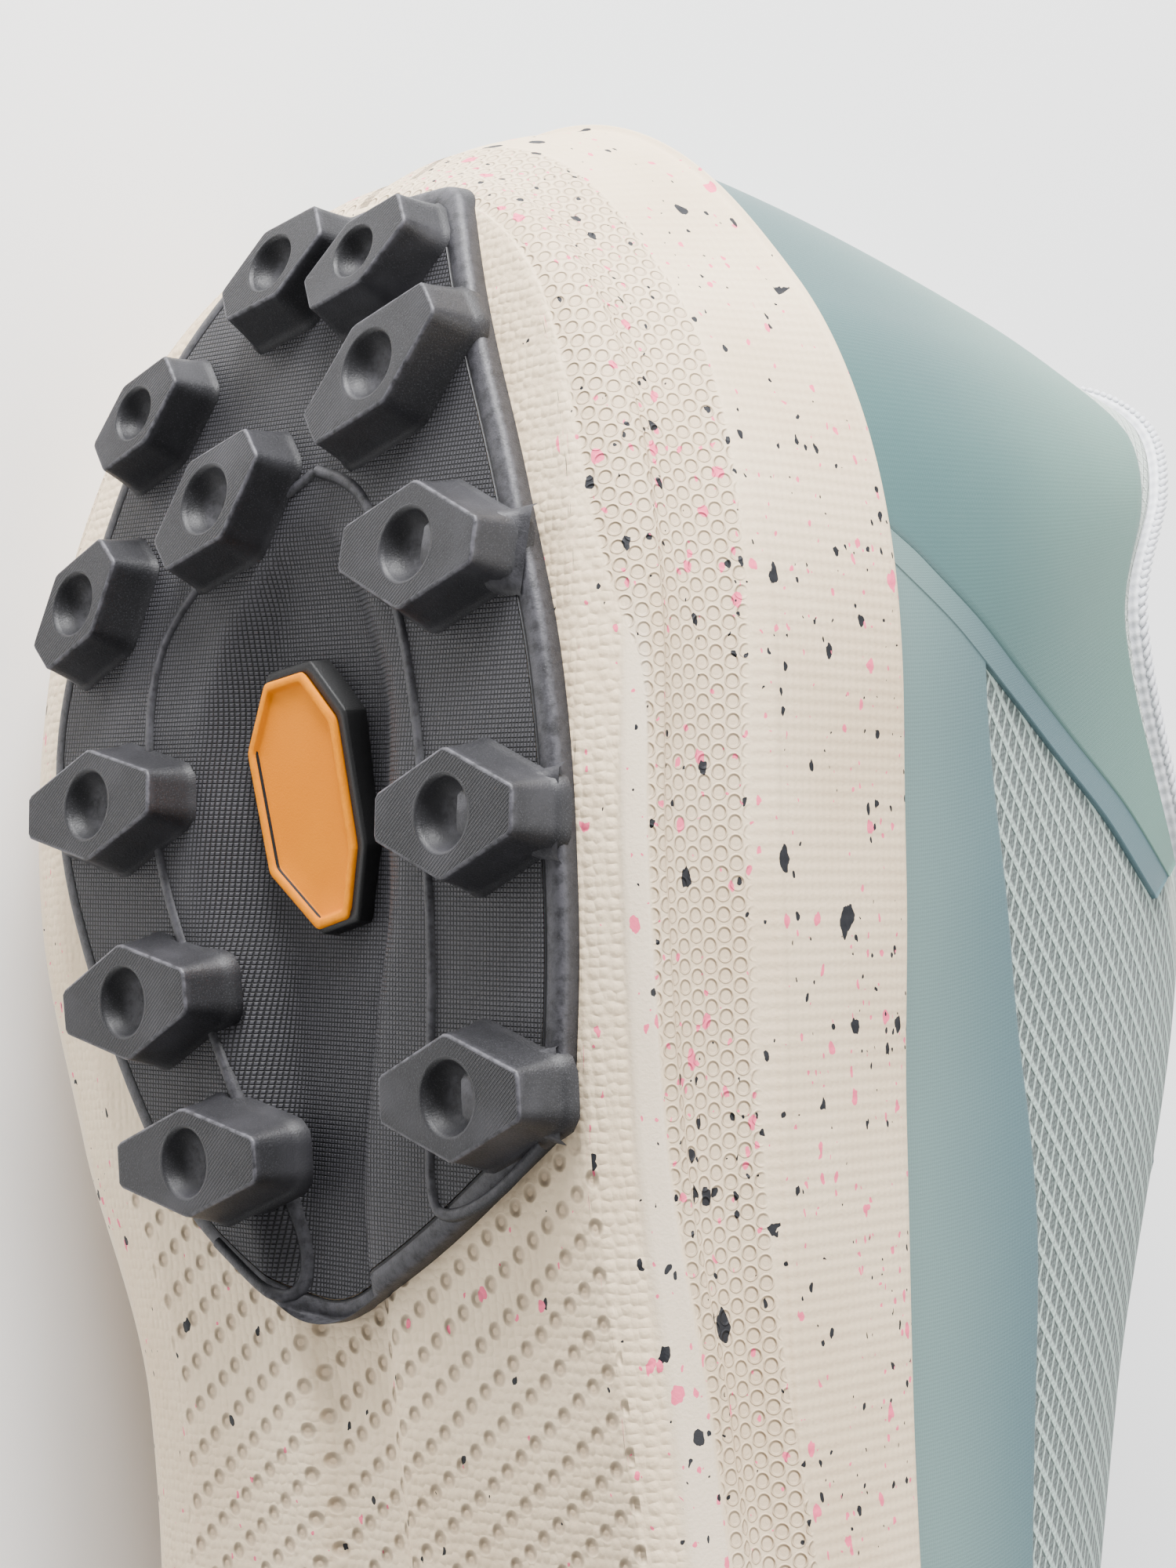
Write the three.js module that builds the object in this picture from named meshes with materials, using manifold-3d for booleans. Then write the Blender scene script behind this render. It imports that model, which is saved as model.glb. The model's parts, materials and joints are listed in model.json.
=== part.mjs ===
// A right trail running shoe, empty, lying on its inner side. Millimetres, +Z up.
// It is drawn standing: X runs from heel to toe, -Y is the outer side, +Y the inner side, Z up from the ground.
// At the end the whole shoe is turned over onto the face of its hull that carries it.
import * as THREE from 'three';
import { mergeVertices } from 'three/addons/utils/BufferGeometryUtils.js';
import { ConvexHull } from 'three/addons/math/ConvexHull.js';
import Module from 'manifold-3d';

const wasm = await Module();
wasm.setup();

// Overall sizes
const LENGTH = 300;
const BALL_WIDTH = 108;
const RIM_HEIGHT = 49;
const COLLAR_HEIGHT = 120;

// Clearances
const FIT = 0.3;
const FILM_FIT = 0.65;

// Midsole
const HEEL_ROUND = 60;
const TOE_ROUND = 80;
const ROUND_POWER = 2.2;
const WALL_LEAN = 3.4;
const HEEL_FLARE = 6.5;
const HEEL_SWEEP = 0.14;
const TUCK = 24;
const LIP = 2.2;
const LIP_DEPTH = 6;
const TROUGH_DEPTH = 3.2;
const TROUGH_LENGTH = 80;
const TROUGH_WIDTH = 40;
const TROUGH_X = 65;
const TROUGH_Y = -4.5;

// Rubber
const RUBBER = 2;
const LUG_HEIGHT = 5;
const LUG_LENGTH = 20;
const LUG_WIDTH = 12.6;
const LUG_END = 4.4;
const LUG_DRAFT = 1.1;
const DIMPLE_RADIUS = 3.4;
const DIMPLE_DEPTH = 2.4;
const HEEL_PAD_LENGTH = 116;
const HEEL_PAD_WIDTH = 84;
const FORE_PAD_START = 138;
const FORE_PAD_NOTCH = 20;
const FORE_PAD_INSET = 1.6;
const FORE_PITCH = 27;
const FORE_ROWS = 5;
const FORE_LUG = 0.85;
const FORE_FIRST = 0.55;
const EDGE_LUG = 0.92;
const EDGE_TURN = 5;
const FIELD_LUG = 0.75;
const FIELD_PLACE = 0.36;
const FIELD_TURN = -12;
const RAMP_WIDTH = 5.5;

// Badge
const BADGE_LENGTH = 26;
const BADGE_WIDTH = 14;
const BADGE_THICKNESS = 1.4;
const BADGE_FRAME = 1.5;
const BADGE_STEP = 0.6;
const BADGE_TURN = -14;

// Upper, and what is sewn or fused to it
const WALL = 2.2;
const INNER_LEAN = 3.4;
const PADDING = 4.2;
const FILM = 0.8;
const BINDING_RADIUS = 1.7;
const BINDING_OVERHANG = 1.1;
const INSOLE = 4;
const TONGUE = 3.2;
const TONGUE_RISE = 17;
const LACE_WIDTH = 5.5;
const LACE_THICKNESS = 1.6;
const LACE_ROWS = 5;
const LACE_FIT = 0.9;
const LACE_LIFT = 2.9;
const EYELET_HEIGHT = 0.93;

// Shares of a half turn and of a section where the pieces on the upper start and end
const COUNTER_END = 0.37;
const RAND_START = 0.25;
const EYESTAY_START = 0.46;
const BINDING_END = 0.42;
const TONGUE_END = 0.94;
const FIRST_LACE = 0.5;
const LAST_LACE = 0.79;
const RIM_GAP = 0.04;
const EYESTAY_LOW = 0.84;
const EYESTAY_TOE = 0.88;
const EYESTAY_HIGH = 0.985;
const TONGUE_SIDE = [0.86, 0.93, 1];
const TONGUE_GAP = 0.7;

// Densities in kg per cubic metre, for the point that the shoe balances on
const FOAM_DENSITY = 300;
const RUBBER_DENSITY = 1200;
const TEXTILE_DENSITY = 900;

// Mesh fineness
const STATIONS = 26;
const ACROSS = 8;
const DIMPLE_SIDES = 8;

const HALF = BALL_WIDTH / 2;

// Tables: one row for each section, lengths as shares of the named sizes

// side: half widths of the outer and inner side and the middle line, in half ball widths;
// rim and ground: heights in rim heights; tucks in TUCK; climb: how far the ribbon has risen, 0 to 1;
// lean: how far the side leans in towards the rim, or out where it is below 0, in full leans
const PLAN = table(['s', 'outer', 'inner', 'middle', 'rimOuter', 'rimInner', 'ground', 'tuckOuter',
  'tuckInner', 'climb', 'lean'], [
  [0.00, 0.905, 0.915, 0.00, 1.00, 1.00, 0.480, 0.08, 0.08, 0.0, -0.7],
  [0.04, 0.910, 0.920, 0.00, 1.00, 1.00, 0.375, 0.15, 0.15, 0.0, -0.5],
  [0.09, 0.915, 0.925, 0.00, 1.00, 1.00, 0.295, 0.26, 0.26, 0.0, -0.1],
  [0.16, 0.920, 0.930, 0.00, 1.00, 1.01, 0.215, 0.32, 0.34, 0.0, 0.4],
  [0.25, 0.920, 0.920, 0.00, 1.00, 1.03, 0.165, 0.32, 0.44, 0.0, 0.8],
  [0.33, 0.910, 0.870, 0.00, 0.99, 1.05, 0.165, 0.30, 0.68, 0.2, 1.0],
  [0.42, 0.905, 0.800, 0.00, 0.97, 1.05, 0.190, 0.22, 0.92, 0.8, 1.0],
  [0.50, 0.925, 0.800, 0.01, 0.95, 1.01, 0.215, 0.20, 0.85, 1.0, 1.0],
  [0.58, 0.965, 0.870, 0.02, 0.91, 0.94, 0.205, 0.20, 0.50, 1.0, 1.0],
  [0.66, 0.995, 0.950, 0.04, 0.87, 0.88, 0.180, 0.20, 0.28, 1.0, 1.0],
  [0.74, 1.000, 0.980, 0.06, 0.84, 0.85, 0.180, 0.20, 0.22, 1.0, 1.0],
  [0.83, 0.950, 0.930, 0.08, 0.84, 0.85, 0.250, 0.20, 0.20, 1.0, 1.0],
  [0.92, 0.860, 0.860, 0.10, 0.90, 0.91, 0.400, 0.20, 0.20, 1.0, 1.0],
  [1.00, 0.800, 0.820, 0.13, 1.00, 1.00, 0.640, 0.16, 0.16, 1.0, 1.0],
]);

// rise: share of the way from the ground edge to the rim; tuck and lean: shares pulled in;
// climb: share of the rise that the ribbon adds where it has climbed; flare: share of the heel's flare
const SIDE = table(['rise', 'tuck', 'lean', 'climb', 'flare'], [
  [0.000, 1.00, 0.00, 0.00, 0.00],
  [0.035, 0.62, 0.00, 0.02, 0.06],
  [0.085, 0.34, 0.00, 0.11, 0.14],
  [0.130, 0.24, 0.00, 0.14, 0.22],
  [0.170, 0.31, 0.00, 0.14, 0.30],
  [0.270, 0.26, 0.00, 0.09, 0.50],
  [0.400, 0.05, 0.00, 0.02, 0.72],
  [0.470, 0.00, 0.00, 0.00, 0.82],
  [0.620, 0.00, 0.20, 0.00, 0.97],
  [0.780, 0.00, 0.50, 0.00, 1.04],
  [0.920, 0.00, 0.82, 0.00, 1.04],
  [0.980, 0.00, 1.05, 0.00, 1.02],
  [1.000, 0.00, 1.40, 0.00, 1.00],
]);

// t: share of the way round half the shoe, from heel to toe. x in lengths, y in half ball widths, z in
// collar heights, middle in half ball widths; then the two handles of each section's curve:
// rise in section heights, out in half ball widths, way as a share of the level distance
const TOP = table(['t', 'x', 'y', 'z', 'middle', 'rise1', 'out1', 'rise2', 'out2', 'way2'], [
  [0.00, 0.042, 0.000, 1.000, 0.00, 0.35, -0.090, 0.73, -0.020, 0.60],
  [0.08, 0.049, 0.260, 1.000, 0.00, 0.35, -0.030, 0.73, -0.010, 0.55],
  [0.15, 0.068, 0.460, 0.985, 0.00, 0.35, -0.010, 0.71, -0.005, 0.50],
  [0.22, 0.101, 0.590, 0.930, 0.00, 0.34, 0.020, 0.69, 0.010, 0.52],
  [0.29, 0.152, 0.650, 0.850, 0.00, 0.33, 0.030, 0.68, 0.000, 0.55],
  [0.36, 0.220, 0.645, 0.900, 0.02, 0.33, 0.040, 0.72, 0.010, 0.52],
  [0.43, 0.293, 0.510, 0.985, 0.03, 0.36, 0.045, 0.80, 0.030, 0.45],
  [0.50, 0.373, 0.390, 0.920, 0.05, 0.40, 0.050, 0.88, 0.035, 0.45],
  [0.58, 0.460, 0.325, 0.822, 0.06, 0.45, 0.050, 0.93, 0.020, 0.45],
  [0.66, 0.527, 0.280, 0.752, 0.07, 0.50, 0.050, 0.97, 0.000, 0.45],
  [0.74, 0.577, 0.225, 0.706, 0.07, 0.56, 0.050, 1.00, 0.000, 0.45],
  [0.82, 0.610, 0.168, 0.677, 0.07, 0.62, 0.050, 1.03, 0.000, 0.44],
  [0.90, 0.630, 0.093, 0.660, 0.07, 0.69, 0.055, 1.07, 0.000, 0.46],
  [1.00, 0.637, 0.000, 0.655, 0.07, 0.75, 0.060, 1.10, 0.000, 0.48],
]);

// Heel counter film: its lower and upper edge up the upper, as shares of the section
const COUNTER = table(['t', 'low', 'high'], [
  [0.00, 0.13, 0.73],
  [0.10, 0.13, 0.77],
  [0.20, 0.13, 0.88],
  [0.24, 0.30, 0.91],
  [0.30, 0.60, 0.94],
  [0.37, 0.88, 0.96],
]);

// Side film: its upper edge, from the counter forward, with the toe cap at the end
const RAND = table(['t', 'high'], [
  [0.24, 0.26],
  [0.27, 0.36],
  [0.36, 0.34],
  [0.50, 0.28],
  [0.68, 0.24],
  [0.80, 0.27],
  [0.90, 0.38],
  [1.00, 0.46],
]);

// Lugs under the heel: place in shares of the pad's length and half width, turn in degrees away from
// straight across, length and width in shares of a full lug, and how far a low ramp runs out from the
// lug's middle to the edge of the pad, in half pad widths
const HEEL_LUGS = table(['x', 'y', 'turn', 'length', 'width', 'ramp'], [
  [0.087, 0.080, -31, 0.74, 0.78, 0],
  [0.099, -0.248, -31, 0.72, 0.70, 0],
  [0.203, -0.376, -35, 0.97, 0.88, 0],
  [0.193, 0.536, -38, 0.68, 0.72, 0],
  [0.290, 0.188, -38, 0.84, 0.92, 0],
  [0.360, 0.690, -46, 0.74, 0.84, 0],
  [0.366, -0.588, 5, 0.98, 1.02, 0.28],
  [0.544, 0.574, -3, 1.05, 0.94, 0],
  [0.587, -0.750, 2, 0.96, 1.00, 0.25],
  [0.718, 0.436, -4, 1.04, 0.96, 0],
  [0.810, -0.733, 0, 0.97, 0.96, 0.23],
  [0.859, 0.217, -1, 1.12, 0.88, 0],
]);

// Outline of the heel pad, outer side first, in shares of its length and half width
const HEEL_PAD = table(['x', 'y'], [
  [0.022, 0.00],
  [0.026, -0.40],
  [0.080, -0.49],
  [0.180, -0.62],
  [0.300, -0.78],
  [0.440, -0.93],
  [0.570, -1.00],
  [0.690, -1.00],
  [0.835, -0.95],
  [0.940, -0.50],
  [1.000, -0.14],
  [1.000, 0.00],
  [0.915, 0.40],
  [0.750, 0.69],
  [0.586, 0.86],
  [0.474, 0.92],
  [0.293, 0.80],
  [0.138, 0.62],
  [0.060, 0.42],
]);

// A table of rows with named columns, read between its rows by a smooth curve that never overshoots
function table(columns, rows) {
  const column = (name) => rows.map((row) => row[columns.indexOf(name)]);
  return { rows, column, at: (name, where) => smoothRead(column(columns[0]), column(name), where) };
}

function smoothRead(xs, ys, x) {
  const last = xs.length - 1;
  const rise = (i) => (ys[i + 1] - ys[i]) / (xs[i + 1] - xs[i]);
  const slope = (i) => {
    if (i === 0) return rise(0);
    if (i === last) return rise(last - 1);
    const [a, b] = [rise(i - 1), rise(i)];
    return a * b <= 0 ? 0 : (2 * a * b) / (a + b);
  };
  let i = 0;
  while (i < last - 1 && x > xs[i + 1]) i += 1;
  const h = xs[i + 1] - xs[i];
  const t = Math.min(Math.max((x - xs[i]) / h, 0), 1);
  const [t2, t3] = [t * t, t * t * t];
  return (2 * t3 - 3 * t2 + 1) * ys[i] + (t3 - 2 * t2 + t) * h * slope(i)
    + (3 * t2 - 2 * t3) * ys[i + 1] + (t3 - t2) * h * slope(i + 1);
}

const ease = (x, from, to) => {
  const t = Math.min(Math.max((x - from) / (to - from), 0), 1);
  return t * t * (3 - 2 * t);
};
const lerp = THREE.MathUtils.lerp;
const V = (x, y, z) => new THREE.Vector3(x, y, z);

// Closed bodies from points and faces

function body(points, faces) {
  const geometry = new THREE.BufferGeometry();
  geometry.setAttribute('position', new THREE.Float32BufferAttribute(points.flatMap((p) => [p.x, p.y, p.z]), 3));
  geometry.setIndex(faces.flatMap((f) => (f.length === 4 ? [f[0], f[1], f[2], f[0], f[2], f[3]] : f)));
  return geometry;
}

// Faces of a tube through rings of equal count; they point out when each ring turns anticlockwise, seen from
// the last ring. A joined tube closes on itself
function ringFaces(rings, count, joined) {
  const faces = [];
  const last = joined ? rings : rings - 1;
  for (let r = 0; r < last; r += 1) {
    const [a, b] = [r * count, ((r + 1) % rings) * count];
    for (let i = 0; i < count; i += 1) {
      const j = (i + 1) % count;
      faces.push([a + i, a + j, b + j, b + i]);
    }
  }
  return faces;
}

function sweep(sections) {
  const count = sections[0].length;
  const faces = ringFaces(sections.length, count, false);
  const end = (sections.length - 1) * count;
  for (let i = 1; i < count - 1; i += 1) {
    faces.push([0, i + 1, i], [end, end + i, end + i + 1]);
  }
  return body(sections.flat(), faces);
}

function toSolid(geometry) {
  const plain = geometry.clone();
  plain.deleteAttribute('normal');
  plain.deleteAttribute('uv');
  const merged = mergeVertices(plain, 1e-4);
  return new wasm.Manifold(new wasm.Mesh({
    numProp: 3,
    vertProperties: new Float32Array(merged.attributes.position.array),
    triVerts: new Uint32Array(merged.index.array),
  }));
}

function toGeometry(solid) {
  const mesh = solid.getMesh();
  const geometry = new THREE.BufferGeometry();
  geometry.setAttribute('position', new THREE.Float32BufferAttribute(mesh.vertProperties, 3));
  geometry.setIndex([...mesh.triVerts]);
  return geometry;
}

// The sole's plan: turn runs once round the shoe, 0 at the heel, outer side first, 0.5 at the toe

const halfTurn = (turn) => (turn <= 0.5 ? 2 * turn : 2 - 2 * turn);
const share = (turn) => (1 - Math.cos(Math.PI * halfTurn(turn))) / 2;
const sideName = (turn, name) => name + (turn <= 0.5 ? 'Outer' : 'Inner');

function planHalf(s, name) {
  const heel = Math.max(1 - (s * LENGTH) / HEEL_ROUND, 0);
  const toe = Math.max(1 - ((1 - s) * LENGTH) / TOE_ROUND, 0);
  const round = ((1 - heel ** ROUND_POWER) * (1 - toe ** ROUND_POWER)) ** (1 / ROUND_POWER);
  return PLAN.at(name, s) * HALF * round;
}

function planPoint(turn) {
  const s = share(turn);
  const half = turn <= 0.5 ? -planHalf(s, 'outer') : planHalf(s, 'inner');
  return V(s * LENGTH, PLAN.at('middle', s) * HALF + half, 0);
}

const wrap = (turn) => ((turn % 1) + 1) % 1;

function planNormal(turn) {
  const step = 0.004;
  const along = planPoint(wrap(turn + step)).sub(planPoint(wrap(turn - step))).normalize();
  return V(along.y, -along.x, 0);
}

const shareAt = (x) => Math.min(Math.max(x / LENGTH, 0), 1);
const inset = (turn, depth) => planPoint(turn).addScaledVector(planNormal(turn), -depth);
const rimZ = (turn) => PLAN.at(sideName(turn, 'rim'), share(turn)) * RIM_HEIGHT;
const groundZ = (x) => PLAN.at('ground', shareAt(x)) * RIM_HEIGHT;
const tuck = (turn) => PLAN.at(sideName(turn, 'tuck'), share(turn)) * TUCK;
const RIM_ROW = SIDE.rows[SIDE.rows.length - 1];

// How far a line of the side lies in from the plan: it leans in, and flares out round the heel
function pulledIn(turn, lean, flare) {
  const sweep = 1 - ease(halfTurn(turn), 0, HEEL_SWEEP);
  return lean * PLAN.at('lean', share(turn)) * WALL_LEAN - flare * sweep * HEEL_FLARE;
}

// The long hollow under the heel that the badge lies in
function trough(x, y) {
  const along = Math.abs(x - TROUGH_X) / (TROUGH_LENGTH / 2);
  const across = Math.abs(y - TROUGH_Y) / (TROUGH_WIDTH / 2);
  return TROUGH_DEPTH * (1 - ease(along, 0.6, 1)) * (1 - ease(across, 0.6, 1));
}

function wallPoint(turn, row) {
  const [rise, tucked, lean, climb, flare] = SIDE.rows[row];
  const foot = groundZ(inset(turn, tuck(turn)).x);
  const point = inset(turn, tucked * tuck(turn) + pulledIn(turn, lean, flare));
  return point.setZ(lerp(foot, rimZ(turn), rise + climb * PLAN.at('climb', share(turn))));
}

const turns = Array.from({ length: 2 * STATIONS }, (unused, k) => k / (2 * STATIONS));
const ring = (place) => turns.map(place);

// Points of a sheet across the shoe between the two sides of a ring
function sheet(edge, height, across) {
  const points = [];
  for (let k = 1; k < STATIONS; k += 1) {
    for (let j = 1; j < across; j += 1) {
      const p = edge[k].clone().lerp(edge[2 * STATIONS - k], j / across);
      points.push(p.setZ(height(p)));
    }
  }
  return points;
}

// Faces of a sheet that looks up: the ring's points are numbered from first, the sheet's own from own
function sheetFaces(first, own, across) {
  const at = (k, j) => {
    if (j === 0) return first + k;
    if (j === across) return first + 2 * STATIONS - k;
    return own + (k - 1) * (across - 1) + j - 1;
  };
  const faces = [];
  for (let j = 0; j < across; j += 1) {
    faces.push([first, at(1, j), at(1, j + 1)]);
    for (let k = 1; k < STATIONS - 1; k += 1) {
      faces.push([at(k, j), at(k + 1, j), at(k + 1, j + 1), at(k, j + 1)]);
    }
    faces.push([at(STATIONS - 1, j), first + STATIONS, at(STATIONS - 1, j + 1)]);
  }
  return faces;
}

// A closed body from rings round the shoe, with a sheet under the first and over the last
function lofted(rings, lowHeight, highHeight, across = ACROSS) {
  const count = rings[0].length;
  const last = rings.length - 1;
  const points = rings.flat();
  const faces = ringFaces(rings.length, count, false);
  faces.push(...sheetFaces(0, points.length, across).map(([corner, ...rest]) => [corner, ...rest.reverse()]));
  points.push(...sheet(rings[0], lowHeight, across));
  faces.push(...sheetFaces(last * count, points.length, across));
  points.push(...sheet(rings[last], highHeight, across));
  return body(points, faces);
}

// Midsole

// The inner face of the lip, in from the plan of the sole
const lipDepth = (turn) => pulledIn(turn, RIM_ROW[2], RIM_ROW[4]) + LIP;
const shelfZ = (x) => (PLAN.at('rimOuter', shareAt(x)) + PLAN.at('rimInner', shareAt(x))) * RIM_HEIGHT / 2
  - LIP_DEPTH;
const soleZ = (p) => groundZ(p.x) + trough(p.x, p.y);

// A ring set in from the inner face of the lip, at a height over the shelf
const shelfRing = (depth, lift) => ring((turn) => {
  const p = inset(turn, lipDepth(turn) + depth);
  return p.setZ(shelfZ(p.x) + lift);
});

function makeMidsole() {
  const wall = SIDE.rows.map((unused, row) => ring((turn) => wallPoint(turn, row)));
  const lip = ring((turn) => inset(turn, lipDepth(turn)).setZ(rimZ(turn)));
  return lofted([...wall, lip, shelfRing(0, 0)], soleZ, (p) => shelfZ(p.x));
}

function makeInsole() {
  const depth = WALL + 3 * FIT;
  return lofted([shelfRing(depth, FIT), shelfRing(depth, FIT + INSOLE)], (p) => shelfZ(p.x) + FIT,
    (p) => shelfZ(p.x) + FIT + INSOLE, ACROSS / 2);
}

// Rubber pads: a slab that follows the sole, cut by the outline of the pad, then lugs and dimples

function slab(depth, top, bottom) {
  const edge = (drop) => ring((turn) => {
    const p = inset(turn, tuck(turn) + depth);
    return p.setZ(groundZ(p.x) - drop);
  });
  return toSolid(lofted([edge(bottom), edge(top)], (p) => soleZ(p) - bottom, (p) => soleZ(p) - top));
}

function prism(outline) {
  const shape = new THREE.Shape(outline.map(([x, y]) => new THREE.Vector2(x, y)));
  const geometry = new THREE.ExtrudeGeometry(shape, { depth: 2 * RIM_HEIGHT, bevelEnabled: false });
  return toSolid(geometry.translate(0, 0, -RIM_HEIGHT));
}

// A place on a pad's face, with its own z pointing out of the rubber and its y to the outer side
function padFrame(x, y, turnDegrees) {
  const run = 4;
  const slope = Math.atan((groundZ(x + run) - groundZ(x - run)) / (2 * run));
  return new THREE.Matrix4().makeTranslation(x, y, groundZ(x) - FIT - RUBBER)
    .multiply(new THREE.Matrix4().makeRotationY(-slope))
    .multiply(new THREE.Matrix4().makeRotationX(Math.PI))
    .multiply(new THREE.Matrix4().makeRotationZ(-THREE.MathUtils.degToRad(turnDegrees)));
}

// A six-sided block, long across the shoe, a little wider at its root
function lug(length, width) {
  const level = (z, margin) => {
    const [l, w, e] = [length / 2 + margin, width / 2 + margin, LUG_END / 2 + margin / 2];
    return [V(w, 0, z), V(e, l, z), V(-e, l, z), V(-w, 0, z), V(-e, -l, z), V(e, -l, z)];
  };
  return sweep([level(-LUG_HEIGHT, LUG_DRAFT), level(0, LUG_DRAFT), level(LUG_HEIGHT, 0)]);
}

function dimple() {
  const above = 1;
  const profile = [[0, -DIMPLE_DEPTH], [0.55 * DIMPLE_RADIUS, -0.8 * DIMPLE_DEPTH], [DIMPLE_RADIUS, 0],
    [DIMPLE_RADIUS, above], [0, above]];
  const geometry = new THREE.LatheGeometry(profile.map(([r, z]) => new THREE.Vector2(r, z)), DIMPLE_SIDES);
  return geometry.rotateX(Math.PI / 2).translate(0, 0, LUG_HEIGHT);
}

// A low ramp from a lug's middle out to the edge of the pad
function ramp(reach) {
  const half = RAMP_WIDTH / 2;
  const level = (z, y) => [V(half, 0, z), V(half, y, z), V(-half, y, z), V(-half, 0, z)];
  return sweep([level(-LUG_HEIGHT, reach), level(0, reach), level(0.8 * LUG_HEIGHT, 0.8 * reach)]);
}

function withLugs(pad, rubberEdge, lugs) {
  const blocks = [];
  const holes = [];
  for (const { x, y, turn, length, width, reach } of lugs) {
    const frame = padFrame(x, y, turn);
    blocks.push(toSolid(lug(length, width).applyMatrix4(frame)));
    if (reach > 0) blocks.push(toSolid(ramp(reach).applyMatrix4(frame)));
    holes.push(toSolid(dimple().applyMatrix4(frame)));
  }
  const under = slab(rubberEdge, FIT + RUBBER / 2, RIM_HEIGHT);
  const joined = blocks.reduce((all, block) => all.add(block)).intersect(under).add(pad);
  return toGeometry(holes.reduce((rest, hole) => rest.subtract(hole), joined));
}

function makeHeelPad() {
  const half = HEEL_PAD_WIDTH / 2;
  const outline = prism(HEEL_PAD.rows.map(([x, y]) => [x * HEEL_PAD_LENGTH, y * half]));
  const lugs = HEEL_LUGS.rows.map(([x, y, turn, length, width, reach]) => ({
    x: x * HEEL_PAD_LENGTH,
    y: y * half,
    turn,
    length: length * LUG_LENGTH,
    width: width * LUG_WIDTH,
    reach: reach * half,
  }));
  return withLugs(slab(FIT, FIT, FIT + RUBBER).intersect(outline), FIT, lugs);
}

// Lugs in pairs along both edges of the forefoot, shorter ones between them, and one at the toe
function foreLugs() {
  const lugs = [];
  const middle = (x) => PLAN.at('middle', shareAt(x)) * HALF;
  const edge = (x, name) => planHalf(shareAt(x), name)
    - PLAN.at(name === 'outer' ? 'tuckOuter' : 'tuckInner', shareAt(x)) * TUCK - FORE_PAD_INSET;
  const add = (x, y, turn, length) => lugs.push({
    x, y, turn, length: length * LUG_LENGTH, width: FORE_LUG * LUG_WIDTH, reach: 0,
  });
  for (let row = 0; row < FORE_ROWS; row += 1) {
    const x = FORE_PAD_START + (row + FORE_FIRST) * FORE_PITCH;
    const between = x + FORE_PITCH / 2;
    for (const [name, side] of [['outer', -1], ['inner', 1]]) {
      const y = edge(x, name) - LUG_LENGTH / 2;
      if (y > LUG_LENGTH) add(x, middle(x) + side * y, EDGE_TURN * side, EDGE_LUG);
      add(between, middle(between) + side * FIELD_PLACE * edge(between, name), FIELD_TURN * side, FIELD_LUG);
    }
  }
  const last = LENGTH - FORE_FIRST * FORE_PITCH;
  add(last, middle(last), 0, FIELD_LUG);
  return lugs;
}

function makeForePad() {
  const far = LENGTH + BALL_WIDTH;
  const outline = prism([[FORE_PAD_START, -HALF], [FORE_PAD_START + FORE_PAD_NOTCH, 0],
    [FORE_PAD_START, HALF], [FORE_PAD_START, BALL_WIDTH], [far, BALL_WIDTH], [far, -BALL_WIDTH],
    [FORE_PAD_START, -BALL_WIDTH]]);
  return withLugs(slab(FORE_PAD_INSET, FIT, FIT + RUBBER).intersect(outline), FORE_PAD_INSET, foreLugs());
}

// An eight-sided plate with a raised frame, in the hollow of the heel pad
function makeBadge() {
  const outline = (margin) => {
    const [l, w] = [BADGE_LENGTH / 2 - margin, BADGE_WIDTH / 2 - margin];
    const corners = [[l, 0.3 * w], [0.55 * l, w], [-0.55 * l, w], [-l, 0.3 * w]];
    return [...corners, ...corners.map(([x, y]) => [-x, -y])];
  };
  const level = (margin, z) => outline(margin).map(([x, y]) => V(x, y, z));
  const floor = 2 * FIT - TROUGH_DEPTH;
  const top = floor + BADGE_THICKNESS;
  const plate = sweep([level(0, floor), level(0, top + BADGE_STEP), level(BADGE_FRAME, top + BADGE_STEP),
    level(BADGE_FRAME + BADGE_STEP, top)]);
  return plate.applyMatrix4(padFrame(TROUGH_X, TROUGH_Y, BADGE_TURN));
}

// Upper: each section is a curve from the rim of the midsole to the collar or throat

function section(turn) {
  const t = halfTurn(turn);
  const out = planNormal(turn);
  const read = (name) => TOP.at(name, t);
  const from = inset(turn, lipDepth(turn) + FIT).setZ(rimZ(turn));
  const side = turn <= 0.5 ? -1 : 1;
  const to = V(read('x') * LENGTH, (read('middle') + side * read('y')) * HALF, read('z') * COLLAR_HEIGHT);
  const height = to.z - from.z;
  const lean = side > 0 ? INNER_LEAN * ease(t, 0.12, 0.26) * (1 - ease(t, 0.6, 0.9)) : 0;
  const first = from.clone().addScaledVector(out, read('out1') * HALF - lean);
  first.z += read('rise1') * height;
  const second = from.clone().lerp(to, read('way2')).addScaledVector(out, read('out2') * HALF - lean);
  second.z = from.z + read('rise2') * height;
  return new THREE.CubicBezierCurve3(from, first, second, to);
}

const skin = (turn, v) => section(wrap(turn)).getPoint(v);

function skinNormal(turn, v) {
  const step = 0.003;
  const along = skin(turn + step, v).sub(skin(turn - step, v));
  const up = skin(turn, Math.min(v + step, 1)).sub(skin(turn, Math.max(v - step, 0)));
  return along.cross(up).normalize();
}

// A point off the upper's outer face: a positive lift stands proud, a negative one lies inside
const offSkin = (turn, v, lift) => skin(turn, v).addScaledVector(skinNormal(turn, v), lift);

// The wall is plain fabric below and padded towards the collar
function thickness(turn, v) {
  const round = Math.min(halfTurn(wrap(turn)), 1);
  return WALL + PADDING * ease(v, 0.45, 0.8) * (1 - ease(round, 0.36, 0.44));
}

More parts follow.
